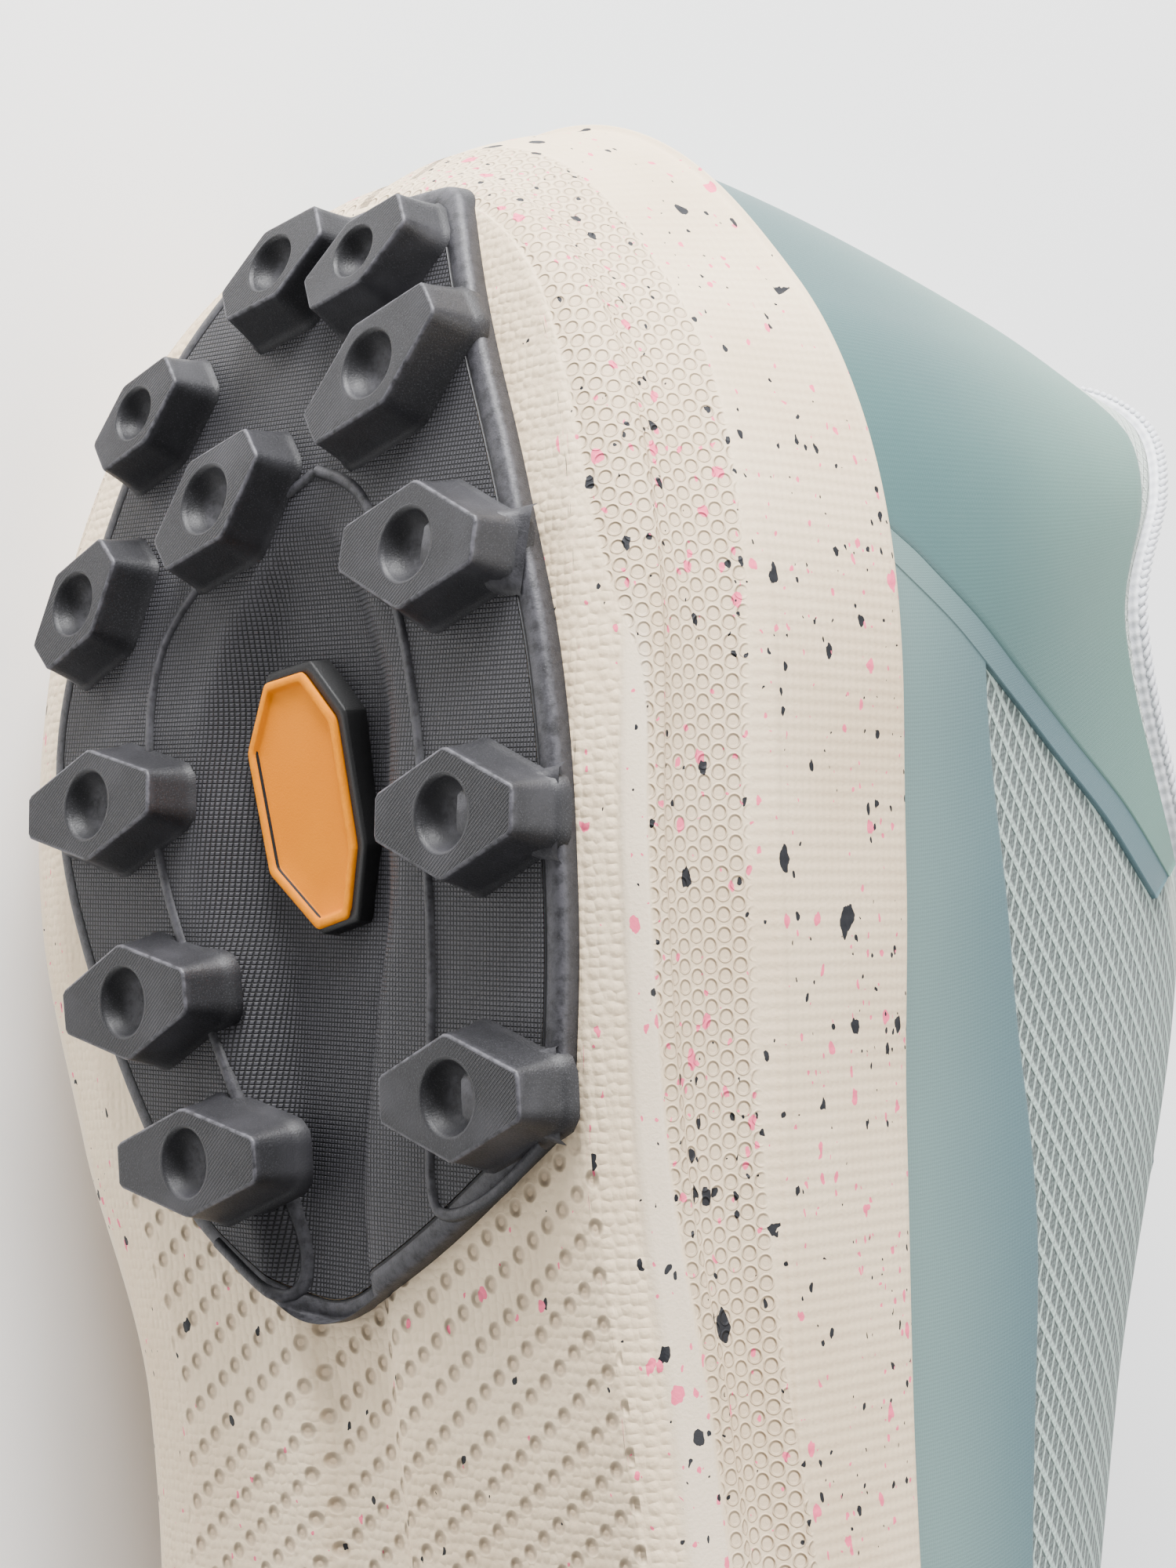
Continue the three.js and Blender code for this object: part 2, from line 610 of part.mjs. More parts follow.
function makeUpper() {
  const outside = [0, 0.1, 0.2, 0.3, 0.41, 0.52, 0.63, 0.74, 0.84, 0.93, 1];
  const inside = [1, 0.93, 0.82, 0.7, 0.55, 0.38, 0.2, 0];
  const rings = [
    shelfRing(FIT, FIT),
    ...outside.map((v) => ring((turn) => skin(turn, v))),
    ...inside.map((v) => ring((turn) => offSkin(turn, v, -thickness(turn, v)))),
    shelfRing(FIT + WALL, FIT),
  ];
  return body(rings.flat(), ringFaces(rings.length, 2 * STATIONS, true));
}

// A film on the upper, between two stations, from its low edge to its high edge
function film(firstStation, lastStation, low, high, rows) {
  const sections = [];
  for (let k = firstStation; k <= lastStation; k += 1) {
    const turn = wrap(k / (2 * STATIONS));
    const t = halfTurn(turn);
    const heights = Array.from({ length: rows }, (unused, i) => lerp(low(t), high(t), i / (rows - 1)));
    sections.push([
      ...heights.map((v) => offSkin(turn, v, FILM_FIT)),
      ...heights.map((v) => offSkin(turn, v, FILM_FIT + FILM)).reverse(),
    ]);
  }
  return sweep(sections);
}

const stationAt = (t) => Math.round(t * STATIONS);

function makeCounter() {
  const end = stationAt(COUNTER_END);
  return film(-end, end, (t) => Math.max(COUNTER.at('low', t) * ease(t, 0.16, 0.24), RIM_GAP),
    (t) => COUNTER.at('high', t), 5);
}

function makeRand() {
  const start = stationAt(RAND_START);
  return film(start, 2 * STATIONS - start, () => RIM_GAP, (t) => RAND.at('high', t), 5);
}

function makeEyestay() {
  const start = stationAt(EYESTAY_START);
  return film(start, 2 * STATIONS - start, (t) => lerp(EYESTAY_LOW, EYESTAY_TOE, ease(t, 0.7, 1)),
    () => EYESTAY_HIGH, 4);
}

// A knitted roll along the collar
function makeBinding() {
  const end = stationAt(BINDING_END);
  const sides = 8;
  const sections = [];
  for (let k = -end; k <= end; k += 1) {
    const turn = k / (2 * STATIONS);
    const outer = skin(turn, 1);
    const inner = offSkin(turn, 1, -thickness(turn, 1));
    const up = outer.clone().sub(skin(turn, 0.97)).normalize();
    const across = outer.clone().sub(inner).setLength(thickness(turn, 1) / 2 + BINDING_OVERHANG);
    const middle = outer.clone().add(inner).multiplyScalar(0.5).addScaledVector(up, BINDING_RADIUS + 2 * FIT);
    sections.push(Array.from({ length: sides }, (unused, i) => {
      const angle = -((i + 0.5) / sides) * 2 * Math.PI;
      return middle.clone().addScaledVector(across, Math.cos(angle))
        .addScaledVector(up, BINDING_RADIUS * Math.sin(angle));
    }));
  }
  return sweep(sections);
}

// Tongue: its face runs under both edges of the throat and is crowned between them

function tongueRow(t, depth) {
  const edge = (turn) => TONGUE_SIDE.map((v) => offSkin(turn, v, -thickness(turn, v) - TONGUE_GAP - depth));
  const outer = edge(t / 2);
  const inner = edge(1 - t / 2).reverse();
  const [a, b] = [outer[2], inner[0]];
  const reach = a.distanceTo(b) * 0.36;
  const lead = (from, to) => to.clone().addScaledVector(to.clone().sub(from).normalize(), reach);
  const crown = new THREE.CubicBezierCurve3(a, lead(outer[1], a), lead(inner[1], b), b);
  return [...outer, crown.getPoint(0.25), crown.getPoint(0.5), crown.getPoint(0.75), ...inner];
}

function makeTongue() {
  const sections = [];
  const row = (t) => [...tongueRow(t, 0), ...tongueRow(t, TONGUE).reverse()];
  for (let k = stationAt(TONGUE_END); k >= stationAt(EYESTAY_START); k -= 1) sections.push(row(k / STATIONS));
  const top = sections[sections.length - 1];
  const back = V(-0.62, 0, 0.78);
  for (const [way, narrow] of [[0.35, 0.9], [0.7, 0.84], [1, 0.76]]) {
    sections.push(top.map((p) => V(p.x, p.y * narrow, p.z).addScaledVector(back, way * TONGUE_RISE)));
  }
  return sweep(sections);
}

// Flat laces, crossed between the rows of eyelets and joined where they cross

function laceEnd(t, side) {
  const turn = side < 0 ? t / 2 : 1 - t / 2;
  const lift = FILM_FIT + FILM + LACE_LIFT + LACE_THICKNESS / 2;
  return { point: offSkin(turn, EYELET_HEIGHT, lift), up: skinNormal(turn, EYELET_HEIGHT) };
}

function laceBar(from, to) {
  const t = (from.t + to.t) / 2;
  const ends = [laceEnd(from.t, from.side), laceEnd(to.t, to.side)];
  const crown = tongueRow(t, -LACE_FIT - LACE_THICKNESS / 2)[4];
  const pull = crown.clone().multiplyScalar(2).addScaledVector(ends[0].point, -0.5)
    .addScaledVector(ends[1].point, -0.5);
  const path = new THREE.QuadraticBezierCurve3(ends[0].point, pull, ends[1].point);
  const sections = [0, 0.25, 0.5, 0.75, 1].map((way) => {
    const along = path.getTangent(way);
    const up = ends[0].up.clone().lerp(ends[1].up, way);
    const across = along.clone().cross(up).normalize().multiplyScalar(LACE_WIDTH / 2);
    const lift = across.clone().cross(along).normalize().multiplyScalar(LACE_THICKNESS / 2);
    const p = path.getPoint(way);
    return [[1, 1], [1, -1], [-1, -1], [-1, 1]].map(([a, b]) => p.clone().addScaledVector(across, a)
      .addScaledVector(lift, b));
  });
  return toSolid(sweep(sections));
}

function makeLaces() {
  const row = (i, side) => ({ t: lerp(FIRST_LACE, LAST_LACE, i / (LACE_ROWS - 1)), side });
  const bars = [laceBar(row(LACE_ROWS - 1, -1), row(LACE_ROWS - 1, 1))];
  for (let i = 0; i < LACE_ROWS - 1; i += 1) {
    bars.push(laceBar(row(i, -1), row(i + 1, 1)), laceBar(row(i + 1, -1), row(i, 1)));
  }
  return toGeometry(bars.reduce((all, bar) => all.add(bar)));
}

// The pieces, their colours, and the densities that place the balance point

const PIECES = [
  ['midsole', makeMidsole, 0xede3d3, 0.8, FOAM_DENSITY],
  ['outsole_heel', makeHeelPad, 0x55565b, 0.6, RUBBER_DENSITY],
  ['outsole_forefoot', makeForePad, 0x55565b, 0.6, RUBBER_DENSITY],
  ['badge', makeBadge, 0xfea207, 0.5, RUBBER_DENSITY],
  ['upper', makeUpper, 0xafbeb9, 0.9, TEXTILE_DENSITY],
  ['heel_counter', makeCounter, 0x97aeae, 0.6, TEXTILE_DENSITY],
  ['rand', makeRand, 0x899d9c, 0.6, TEXTILE_DENSITY],
  ['eyestay', makeEyestay, 0x899d9c, 0.6, TEXTILE_DENSITY],
  ['collar_binding', makeBinding, 0xe2e3e7, 0.9, TEXTILE_DENSITY],
  ['tongue', makeTongue, 0xd8dfd8, 0.9, TEXTILE_DENSITY],
  ['laces', makeLaces, 0xe2e3e7, 0.9, TEXTILE_DENSITY],
  ['insole', makeInsole, 0xb8c2bd, 0.9, FOAM_DENSITY],
];

function massPoint(meshes) {
  const centre = V(0, 0, 0);
  let mass = 0;
  const corners = [V(0, 0, 0), V(0, 0, 0), V(0, 0, 0)];
  meshes.forEach((mesh, i) => {
    const { index, attributes } = mesh.geometry;
    for (let f = 0; f < index.count; f += 3) {
      corners.forEach((corner, c) => corner.fromBufferAttribute(attributes.position, index.getX(f + c)));
      const [a, b, c] = corners;
      const weight = PIECES[i][4] * a.dot(b.clone().cross(c));
      centre.addScaledVector(a.clone().add(b).add(c), weight / 4);
      mass += weight;
    }
  });
  return centre.divideScalar(mass);
}

// The face of the hull on the inner side that the balance point stands over
function restingFace(meshes) {
  const balance = massPoint(meshes);
  const hull = new ConvexHull().setFromPoints(meshes.flatMap(({ geometry }) => {
    const { position } = geometry.attributes;
    return Array.from({ length: position.count }, (unused, i) => V(0, 0, 0).fromBufferAttribute(position, i));
  }));
  const corners = ({ edge }) => [edge.prev, edge, edge.next].map((side) => side.head().point);
  const carries = (face) => {
    const ray = new THREE.Ray(balance, face.normal);
    return ray.intersectTriangle(...corners(face), false, V(0, 0, 0)) !== null;
  };
  const inner = hull.faces.filter((face) => face.normal.y > 0 && carries(face));
  return inner.reduce((best, face) => (face.normal.y > best.normal.y ? face : best)).normal.clone();
}

const meshes = PIECES.map(([name, make, color, roughness]) => {
  const geometry = make();
  const mesh = new THREE.Mesh(geometry, new THREE.MeshStandardMaterial({ color, roughness, metalness: 0 }));
  mesh.name = name;
  return mesh;
});

// Standing shoe to lying shoe: the carrying face looks down and the shoe keeps pointing along X
const down = restingFace(meshes);
const along = V(1, 0, 0).addScaledVector(down, -down.x).normalize();
const lying = new THREE.Group();
const turned = new THREE.Matrix4().makeBasis(along, down.clone().negate().cross(along), down.clone().negate());
lying.setRotationFromMatrix(turned.transpose());
lying.add(...meshes);
const shoe = new THREE.Group();
shoe.add(lying);
shoe.updateMatrixWorld(true);
const box = new THREE.Box3().setFromObject(shoe, true);
const middle = box.getCenter(V(0, 0, 0));
lying.position.set(-middle.x, -middle.y, -box.min.z);

export default shoe;
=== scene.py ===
# %% [markdown]
# # A trail running shoe, lying on its side and seen from below its heel
#
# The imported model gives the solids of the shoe. This script dresses them: each soft or detailed piece is
# built again as a finer mesh from a few tables of sizes, and gets a material made of nodes.
# All shapes are drawn on the standing shoe, in millimetres: x from heel to toe, y to the inner side,
# z up from the ground. One function then lays them down where the frame has its solids.

import json
import math

import bpy
import numpy as np
from mathutils import Matrix, Vector
from mathutils.geometry import delaunay_2d_cdt


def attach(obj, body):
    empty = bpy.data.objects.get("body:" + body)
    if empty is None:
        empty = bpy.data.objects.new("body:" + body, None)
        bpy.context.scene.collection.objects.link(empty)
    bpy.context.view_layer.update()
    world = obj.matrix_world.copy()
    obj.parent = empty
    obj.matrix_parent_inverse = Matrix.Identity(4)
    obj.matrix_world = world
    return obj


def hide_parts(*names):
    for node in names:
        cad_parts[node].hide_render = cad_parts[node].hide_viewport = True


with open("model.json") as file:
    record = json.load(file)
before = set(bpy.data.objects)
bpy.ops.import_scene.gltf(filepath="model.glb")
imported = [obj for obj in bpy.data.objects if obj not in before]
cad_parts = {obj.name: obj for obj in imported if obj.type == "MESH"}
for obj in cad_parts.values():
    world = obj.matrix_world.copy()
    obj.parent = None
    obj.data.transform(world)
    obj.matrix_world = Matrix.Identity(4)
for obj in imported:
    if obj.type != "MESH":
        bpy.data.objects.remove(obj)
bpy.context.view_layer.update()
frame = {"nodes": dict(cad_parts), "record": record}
print("nodes in the frame:", sorted(frame["nodes"]))

# %% [markdown]
# ## From the standing shoe to the lying shoe
#
# A mount of the record is a flat face with a place and a direction. The outer face of one heel lug looks
# straight down on the standing shoe, so its direction gives the sole's up, and its place ties the two
# together. Reading it from the record keeps the script right if the shoe settles a little differently.

# %% Lay the shoe down
HEEL_LUG_FACE = (94.0, -37.5, 0.79)

lug_mount = next(m for m in frame["record"]["mounts"] if m["name"] == "heel_lug_face")
sole_up = -np.array(lug_mount["axis"])
sole_up /= np.linalg.norm(sole_up)
toeward = np.array([-sole_up[2], 0.0, sole_up[0]])
toeward /= np.linalg.norm(toeward)
inward = np.cross(sole_up, toeward)
TURN = np.column_stack([toeward, inward, sole_up])
SHIFT = np.array(lug_mount["pos_m"]) - TURN @ (np.array(HEEL_LUG_FACE) / 1000)


def lay(points):
    """Points of the standing shoe in millimetres, as points of the lying shoe in metres."""
    return np.asarray(points, float) / 1000 @ TURN.T + SHIFT


print("heel centre on the floor plan:", lay([[0, 0, 0]])[0].round(4))

# %% [markdown]
# ## Camera
#
# The photograph looks up at the heel half of the sole from its outer side. The camera's direction is given
# on the standing shoe: how far it turns from straight below towards the outer side, a small tip towards the
# toe, and a small turn of the shoe in the picture. The heel is at the top of the picture.

# %% Camera at the photograph's angle
AIM = np.array([66.0, -44.0, 8.0])
SIDEWAYS, TIP, YAW = map(math.radians, (46.0, -1.0, 4.0))
DISTANCE = 320.0
FOCAL_PIXELS, PICTURE_PIXELS, SENSOR = 4480, 2000, 36


def add_object(name, data):
    """A new object at the origin, linked into the scene."""
    made = bpy.data.objects.new(name, data)
    bpy.context.collection.objects.link(made)
    return made


def camera_axes():
    """Right, top and back of the camera, on the standing shoe."""
    up = np.array([0.0, 0.0, 1.0])
    along = np.array([math.cos(YAW), math.sin(YAW), 0.0])
    across = np.array([-math.sin(YAW), math.cos(YAW), 0.0])
    back = -up * math.cos(SIDEWAYS) - across * math.sin(SIDEWAYS)
    right = -across * math.cos(SIDEWAYS) + up * math.sin(SIDEWAYS)
    top = -along
    return right, top * math.cos(TIP) - back * math.sin(TIP), back * math.cos(TIP) + top * math.sin(TIP)


def make_camera():
    right, top, back = camera_axes()
    data = bpy.data.cameras.new("camera")
    data.sensor_fit = "VERTICAL"
    data.sensor_height = SENSOR
    data.lens = FOCAL_PIXELS / PICTURE_PIXELS * SENSOR
    data.clip_start = 0.01
    camera = add_object("camera", data)
    turn = Matrix((TURN @ np.column_stack([right, top, back])).tolist()).to_4x4()
    camera.matrix_world = Matrix.Translation(Vector(lay([AIM + back * DISTANCE])[0])) @ turn
    bpy.context.scene.camera = camera
    return camera


camera = make_camera()
print("camera at", [round(v, 3) for v in camera.location])

# %% [markdown]
# ## Sizes and tables
#
# A shoe has few straight lines, so its shape is kept in short tables: one row for each section, read
# between the rows by a smooth curve that doesn't overshoot. The numbers are shares of a few named sizes, the
# same ones that made the solids.

# %% Named sizes and tables
LENGTH, HALF, RIM_HEIGHT, COLLAR_HEIGHT = 300.0, 54.0, 49.0, 120.0
HEEL_ROUND, TOE_ROUND, ROUND_POWER = 60.0, 80.0, 2.2
WALL_LEAN, TUCK, LIP, LIP_DEPTH = 3.4, 24.0, 2.2, 6.0
HEEL_FLARE, HEEL_SWEEP = 6.5, 0.14
FIT, RUBBER, DIMPLE = 0.3, 2.0, 3.5
LUG_LENGTH, LUG_WIDTH, LUG_HEIGHT = 20.0, 12.6, 5.0
PAD_LENGTH, PAD_HALF = 116.0, 42.0
WALL, PADDING, INNER_LEAN = 2.2, 4.2, 3.4


def table(names, *rows):
    return {name: np.array([row[i] for row in rows]) for i, name in enumerate(names.split())}


PLAN = table(
    "s outer inner middle rim_outer rim_inner ground tuck_outer tuck_inner climb lean",
    (0.00, 0.905, 0.915, 0.00, 1.00, 1.00, 0.480, 0.08, 0.08, 0.0, -0.7),
    (0.04, 0.910, 0.920, 0.00, 1.00, 1.00, 0.375, 0.15, 0.15, 0.0, -0.5),
    (0.09, 0.915, 0.925, 0.00, 1.00, 1.00, 0.295, 0.26, 0.26, 0.0, -0.1),
    (0.16, 0.920, 0.930, 0.00, 1.00, 1.01, 0.215, 0.32, 0.34, 0.0, 0.4),
    (0.25, 0.920, 0.920, 0.00, 1.00, 1.03, 0.165, 0.32, 0.44, 0.0, 0.8),
    (0.33, 0.910, 0.870, 0.00, 0.99, 1.05, 0.165, 0.30, 0.68, 0.2, 1.0),
    (0.42, 0.905, 0.800, 0.00, 0.97, 1.05, 0.190, 0.22, 0.92, 0.8, 1.0),
    (0.50, 0.925, 0.800, 0.01, 0.95, 1.01, 0.215, 0.20, 0.85, 1.0, 1.0),
    (0.58, 0.965, 0.870, 0.02, 0.91, 0.94, 0.205, 0.20, 0.50, 1.0, 1.0),
    (0.66, 0.995, 0.950, 0.04, 0.87, 0.88, 0.180, 0.20, 0.28, 1.0, 1.0),
    (0.74, 1.000, 0.980, 0.06, 0.84, 0.85, 0.180, 0.20, 0.22, 1.0, 1.0),
    (0.83, 0.950, 0.930, 0.08, 0.84, 0.85, 0.250, 0.20, 0.20, 1.0, 1.0),
    (0.92, 0.860, 0.860, 0.10, 0.90, 0.91, 0.400, 0.20, 0.20, 1.0, 1.0),
    (1.00, 0.800, 0.820, 0.13, 1.00, 1.00, 0.640, 0.16, 0.16, 1.0, 1.0),
)

# One row for each line up the midsole's side: its rise, how much it is tucked under, its lean, how far it
# climbs where the moulded ribbon climbs, and its share of the heel's flare
SIDE = table(
    "line rise tuck lean climb flare",
    (0, 0.000, 1.00, 0.00, 0.00, 0.00),
    (1, 0.035, 0.62, 0.00, 0.02, 0.06),
    (2, 0.085, 0.34, 0.00, 0.11, 0.14),
    (3, 0.130, 0.24, 0.00, 0.14, 0.22),
    (4, 0.170, 0.31, 0.00, 0.14, 0.30),
    (5, 0.270, 0.26, 0.00, 0.09, 0.50),
    (6, 0.400, 0.05, 0.00, 0.02, 0.72),
    (7, 0.470, 0.00, 0.00, 0.00, 0.82),
    (8, 0.620, 0.00, 0.20, 0.00, 0.97),
    (9, 0.780, 0.00, 0.50, 0.00, 1.04),
    (10, 0.920, 0.00, 0.82, 0.00, 1.04),
    (11, 0.980, 0.00, 1.05, 0.00, 1.02),
    (12, 1.000, 0.00, 1.40, 0.00, 1.00),
)

TOP = table(
    "t x y z middle rise1 out1 rise2 out2 way2",
    (0.00, 0.042, 0.000, 1.000, 0.00, 0.35, -0.090, 0.73, -0.020, 0.60),
    (0.08, 0.049, 0.260, 1.000, 0.00, 0.35, -0.030, 0.73, -0.010, 0.55),
    (0.15, 0.068, 0.460, 0.985, 0.00, 0.35, -0.010, 0.71, -0.005, 0.50),
    (0.22, 0.101, 0.590, 0.930, 0.00, 0.34, 0.020, 0.69, 0.010, 0.52),
    (0.29, 0.152, 0.650, 0.850, 0.00, 0.33, 0.030, 0.68, 0.000, 0.55),
    (0.36, 0.220, 0.645, 0.900, 0.02, 0.33, 0.040, 0.72, 0.010, 0.52),
    (0.43, 0.293, 0.510, 0.985, 0.03, 0.36, 0.045, 0.80, 0.030, 0.45),
    (0.50, 0.373, 0.390, 0.920, 0.05, 0.40, 0.050, 0.88, 0.035, 0.45),
    (0.58, 0.460, 0.325, 0.822, 0.06, 0.45, 0.050, 0.93, 0.020, 0.45),
    (0.66, 0.527, 0.280, 0.752, 0.07, 0.50, 0.050, 0.97, 0.000, 0.45),
    (0.74, 0.577, 0.225, 0.706, 0.07, 0.56, 0.050, 1.00, 0.000, 0.45),
    (0.82, 0.610, 0.168, 0.677, 0.07, 0.62, 0.050, 1.03, 0.000, 0.44),
    (0.90, 0.630, 0.093, 0.660, 0.07, 0.69, 0.055, 1.07, 0.000, 0.46),
    (1.00, 0.637, 0.000, 0.655, 0.07, 0.75, 0.060, 1.10, 0.000, 0.48),
)


def read(rows, name, where):
    """A column of a table at any place, by a smooth curve through its rows."""
    xs, ys = next(iter(rows.values())), rows[name]
    where = np.clip(np.asarray(where, float), xs[0], xs[-1])
    rise = np.diff(ys) / np.diff(xs)
    a, b = rise[:-1], rise[1:]
    total = np.where(a + b == 0, 1, a + b)
    slope = np.concatenate([rise[:1], np.where(a * b > 0, 2 * a * b / total, 0), rise[-1:]])
    i = np.clip(np.searchsorted(xs, where, side="right") - 1, 0, len(xs) - 2)
    h = xs[i + 1] - xs[i]
    t = (where - xs[i]) / h
    return (
        (2 * t**3 - 3 * t**2 + 1) * ys[i]
        + (t**3 - 2 * t**2 + t) * h * slope[i]
        + (3 * t**2 - 2 * t**3) * ys[i + 1]
        + (t**3 - t**2) * h * slope[i + 1]
    )


def ease(value, start, end):
    """0 before start, 1 after end, smooth between."""
    t = np.clip((np.asarray(value, float) - start) / (end - start), 0, 1)
    return t * t * (3 - 2 * t)


print("half width at the heel pad:", round(float(read(PLAN, "outer", 0.25)) * HALF, 1), "mm")

# %% [markdown]
# ## The plan of the sole
#
# Every ring round the shoe is numbered by its turn: 0 at the heel, first along the outer side, 0.5 at the
# toe, then back along the inner side. The outline comes from the table and is rounded at both ends.

# %% Rings round the shoe


def plan_half(s, name):
    heel = np.maximum(1 - s * LENGTH / HEEL_ROUND, 0)
    toe = np.maximum(1 - (1 - s) * LENGTH / TOE_ROUND, 0)
    return read(PLAN, name, s) * HALF * ((1 - heel**ROUND_POWER) * (1 - toe**ROUND_POWER)) ** (1 / ROUND_POWER)


def half_turn(turn):
    turn = np.mod(turn, 1)
    return np.where(turn <= 0.5, 2 * turn, 2 - 2 * turn)


def share(turn):
    return (1 - np.cos(np.pi * half_turn(turn))) / 2


def by_side(turn, name, s=None):
    s = share(turn) if s is None else s
    return np.where(np.mod(turn, 1) <= 0.5, read(PLAN, name + "_outer", s), read(PLAN, name + "_inner", s))


def plan_point(turn):
    s = share(turn)
    half = np.where(np.mod(turn, 1) <= 0.5, -plan_half(s, "outer"), plan_half(s, "inner"))
    return np.stack([s * LENGTH, read(PLAN, "middle", s) * HALF + half, np.zeros_like(s)], -1)


def unit(vectors):
    return vectors / np.maximum(np.linalg.norm(vectors, axis=-1, keepdims=True), 1e-9)


def plan_normal(turn):
    along = unit(plan_point(turn + 0.004) - plan_point(turn - 0.004))
    return np.stack([along[..., 1], -along[..., 0], np.zeros(along.shape[:-1])], -1)


def pulled_in(turn, line):
    """How far a line of the side lies in from the plan: it leans in, and flares out round the heel."""
    sweep = 1 - ease(half_turn(turn), 0, HEEL_SWEEP)
    lean = read(SIDE, "lean", line) * read(PLAN, "lean", share(turn)) * WALL_LEAN
    return lean - read(SIDE, "flare", line) * sweep * HEEL_FLARE


def inset(turn, depth):
    return plan_point(turn) - plan_normal(turn) * np.asarray(depth)[..., None]


def ground_z(x):
    return read(PLAN, "ground", np.clip(x / LENGTH, 0, 1)) * RIM_HEIGHT


def rim_z(turn):
    return by_side(turn, "rim") * RIM_HEIGHT


def tuck(turn):
    return by_side(turn, "tuck") * TUCK


# %% [markdown]
# ## Making meshes
#
# Nearly every piece is a net of points: rings of equal count, joined by four-sided faces. One helper turns
# such a net into an object at the origin, with its values per point kept as attributes that the materials
# read, and the place of every point on the standing shoe among them.

# %% Mesh helpers


def net_faces(rows, columns, closed=True, first=0):
    """Faces between rows of points; closed joins the last column to the first."""
    last = columns if closed else columns - 1
    r, c = np.meshgrid(np.arange(rows - 1), np.arange(last), indexing="ij")
    a, b = r * columns + c, r * columns + (c + 1) % columns
    return (np.stack([a, b, b + columns, a + columns], -1).reshape(-1, 4) + first).tolist()


def end_caps(rows, count, first=0):
    """The two faces that shut a tube made of rings."""
    last = first + (rows - 1) * count
    return [[first + i for i in range(count)][::-1], [last + i for i in range(count)]]


def at_height(ring, height):
    """A flat ring at one height, or at a height for each of its points."""
    return np.column_stack([ring, np.broadcast_to(height, len(ring))])


def make_piece(name, points, faces, finish, nodes=(), values=None):
    """An object from points of the standing shoe, riding on the one body of the part."""
    mesh = bpy.data.meshes.new(name)
    points = np.asarray(points, float)
    mesh.from_pydata(lay(points).tolist(), [], faces)
    mesh.polygons.foreach_set("use_smooth", [True] * len(mesh.polygons))
    standing = mesh.attributes.new("standing", "FLOAT_VECTOR", "POINT")
    standing.data.foreach_set("vector", points.astype(np.float32).ravel())
    for key, column in (values or {}).items():
        column = np.asarray(column, np.float32)
        kind, field = ("FLOAT", "value") if column.ndim == 1 else ("FLOAT_VECTOR", "vector")
        mesh.attributes.new(key, kind, "POINT").data.foreach_set(field, column.ravel())
    mesh.materials.append(finish)
    mesh.update()
    piece = add_object(name, mesh)
    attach(piece, "root")
    if nodes:
        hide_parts(*nodes)
    triangles = sum(len(p.vertices) - 2 for p in mesh.polygons)
    print(f"{name}: {triangles} triangles")
    return piece


def round_corners(corners, cut, steps=6):
    """A closed outline with each corner rounded; shallow corners are rounded from edge middle to edge middle."""
    corners = np.asarray(corners, float)
    out = []
    for i, corner in enumerate(corners):
        before, after = corners[i - 1] - corner, corners[(i + 1) % len(corners)] - corner
        lengths = np.linalg.norm(before), np.linalg.norm(after)
        bend = math.degrees(math.acos(np.clip(-before @ after / (lengths[0] * lengths[1]), -1, 1)))
        reach = min(lengths) / 2 if bend < 32 else min(cut, min(lengths) / 2)
        a, b = corner + before / lengths[0] * reach, corner + after / lengths[1] * reach
        for t in np.linspace(0, 1, steps):
            out.append((1 - t) ** 2 * a + 2 * t * (1 - t) * corner + t * t * b)
    return np.array(out)


def even(path, count, closed=True):
    """The path again with points at equal steps."""
    path = np.asarray(path, float)
    loop = np.vstack([path, path[:1]]) if closed else path
    steps = np.concatenate([[0], np.cumsum(np.linalg.norm(np.diff(loop, axis=0), axis=1))])
    keep = np.concatenate([[True], np.diff(steps) > 1e-9])
    where = np.linspace(0, steps[-1], count + 1 if closed else count)[:count]
    return np.stack([np.interp(where, steps[keep], loop[keep, k]) for k in range(loop.shape[1])], -1)


def outline_normals(outline):
    """Outward directions of a closed flat outline that turns anticlockwise."""
    along = np.roll(outline, -1, 0) - np.roll(outline, 1, 0)
    return unit(np.stack([along[:, 1], -along[:, 0]], -1))


# %% [markdown]
# ## Shader helpers
#
# A material is a small net of nodes. These helpers place one node and link it in a line, so that each
# material below reads like a recipe. Effects that several materials share are node groups with named
# sockets: a field of dots, a fine woven relief, rows of square studs, and flecks of paint.

# %% Node helpers


def put(tree, kind, sockets=None, **settings):
    node = tree.nodes.new(kind)
    for key, value in settings.items():
        setattr(node, key, value)
    for key, value in (sockets or {}).items():
        if isinstance(value, bpy.types.NodeSocket):
            tree.links.new(value, node.inputs[key])
        else:
            node.inputs[key].default_value = value
    return node


def calc(tree, operation, a, b=0.0, clamp=False):
    return put(tree, "ShaderNodeMath", {0: a, 1: b}, operation=operation, use_clamp=clamp).outputs[0]


def times(tree, first, *others):
    for value in others:
        first = calc(tree, "MULTIPLY", first, value)
    return first


def plus(tree, first, *others):
    for value in others:
        first = calc(tree, "ADD", first, value)
    return first


def minus(tree, a, b):
    return calc(tree, "SUBTRACT", a, b)


def vector_calc(tree, operation, a, b):
    return put(tree, "ShaderNodeVectorMath", {0: a, 1: b}, operation=operation).outputs["Vector"]


def ramp(tree, value, low, high, to_low=0.0, to_high=1.0):
    """A smooth step of a value from one level to another."""
    node = put(tree, "ShaderNodeMapRange", {"Value": value, "From Min": low, "From Max": high,
                                            "To Min": to_low, "To Max": to_high})
    node.interpolation_type = "SMOOTHSTEP"
    return node.outputs["Result"]


def blend(tree, factor, a, b):
    node = put(tree, "ShaderNodeMix", data_type="RGBA")
    for i, value in ((0, factor), (6, a), (7, b)):
        if isinstance(value, bpy.types.NodeSocket):
            tree.links.new(value, node.inputs[i])
        else:
            node.inputs[i].default_value = value if i == 0 or len(value) == 4 else (*value, 1)
    return node.outputs[2]


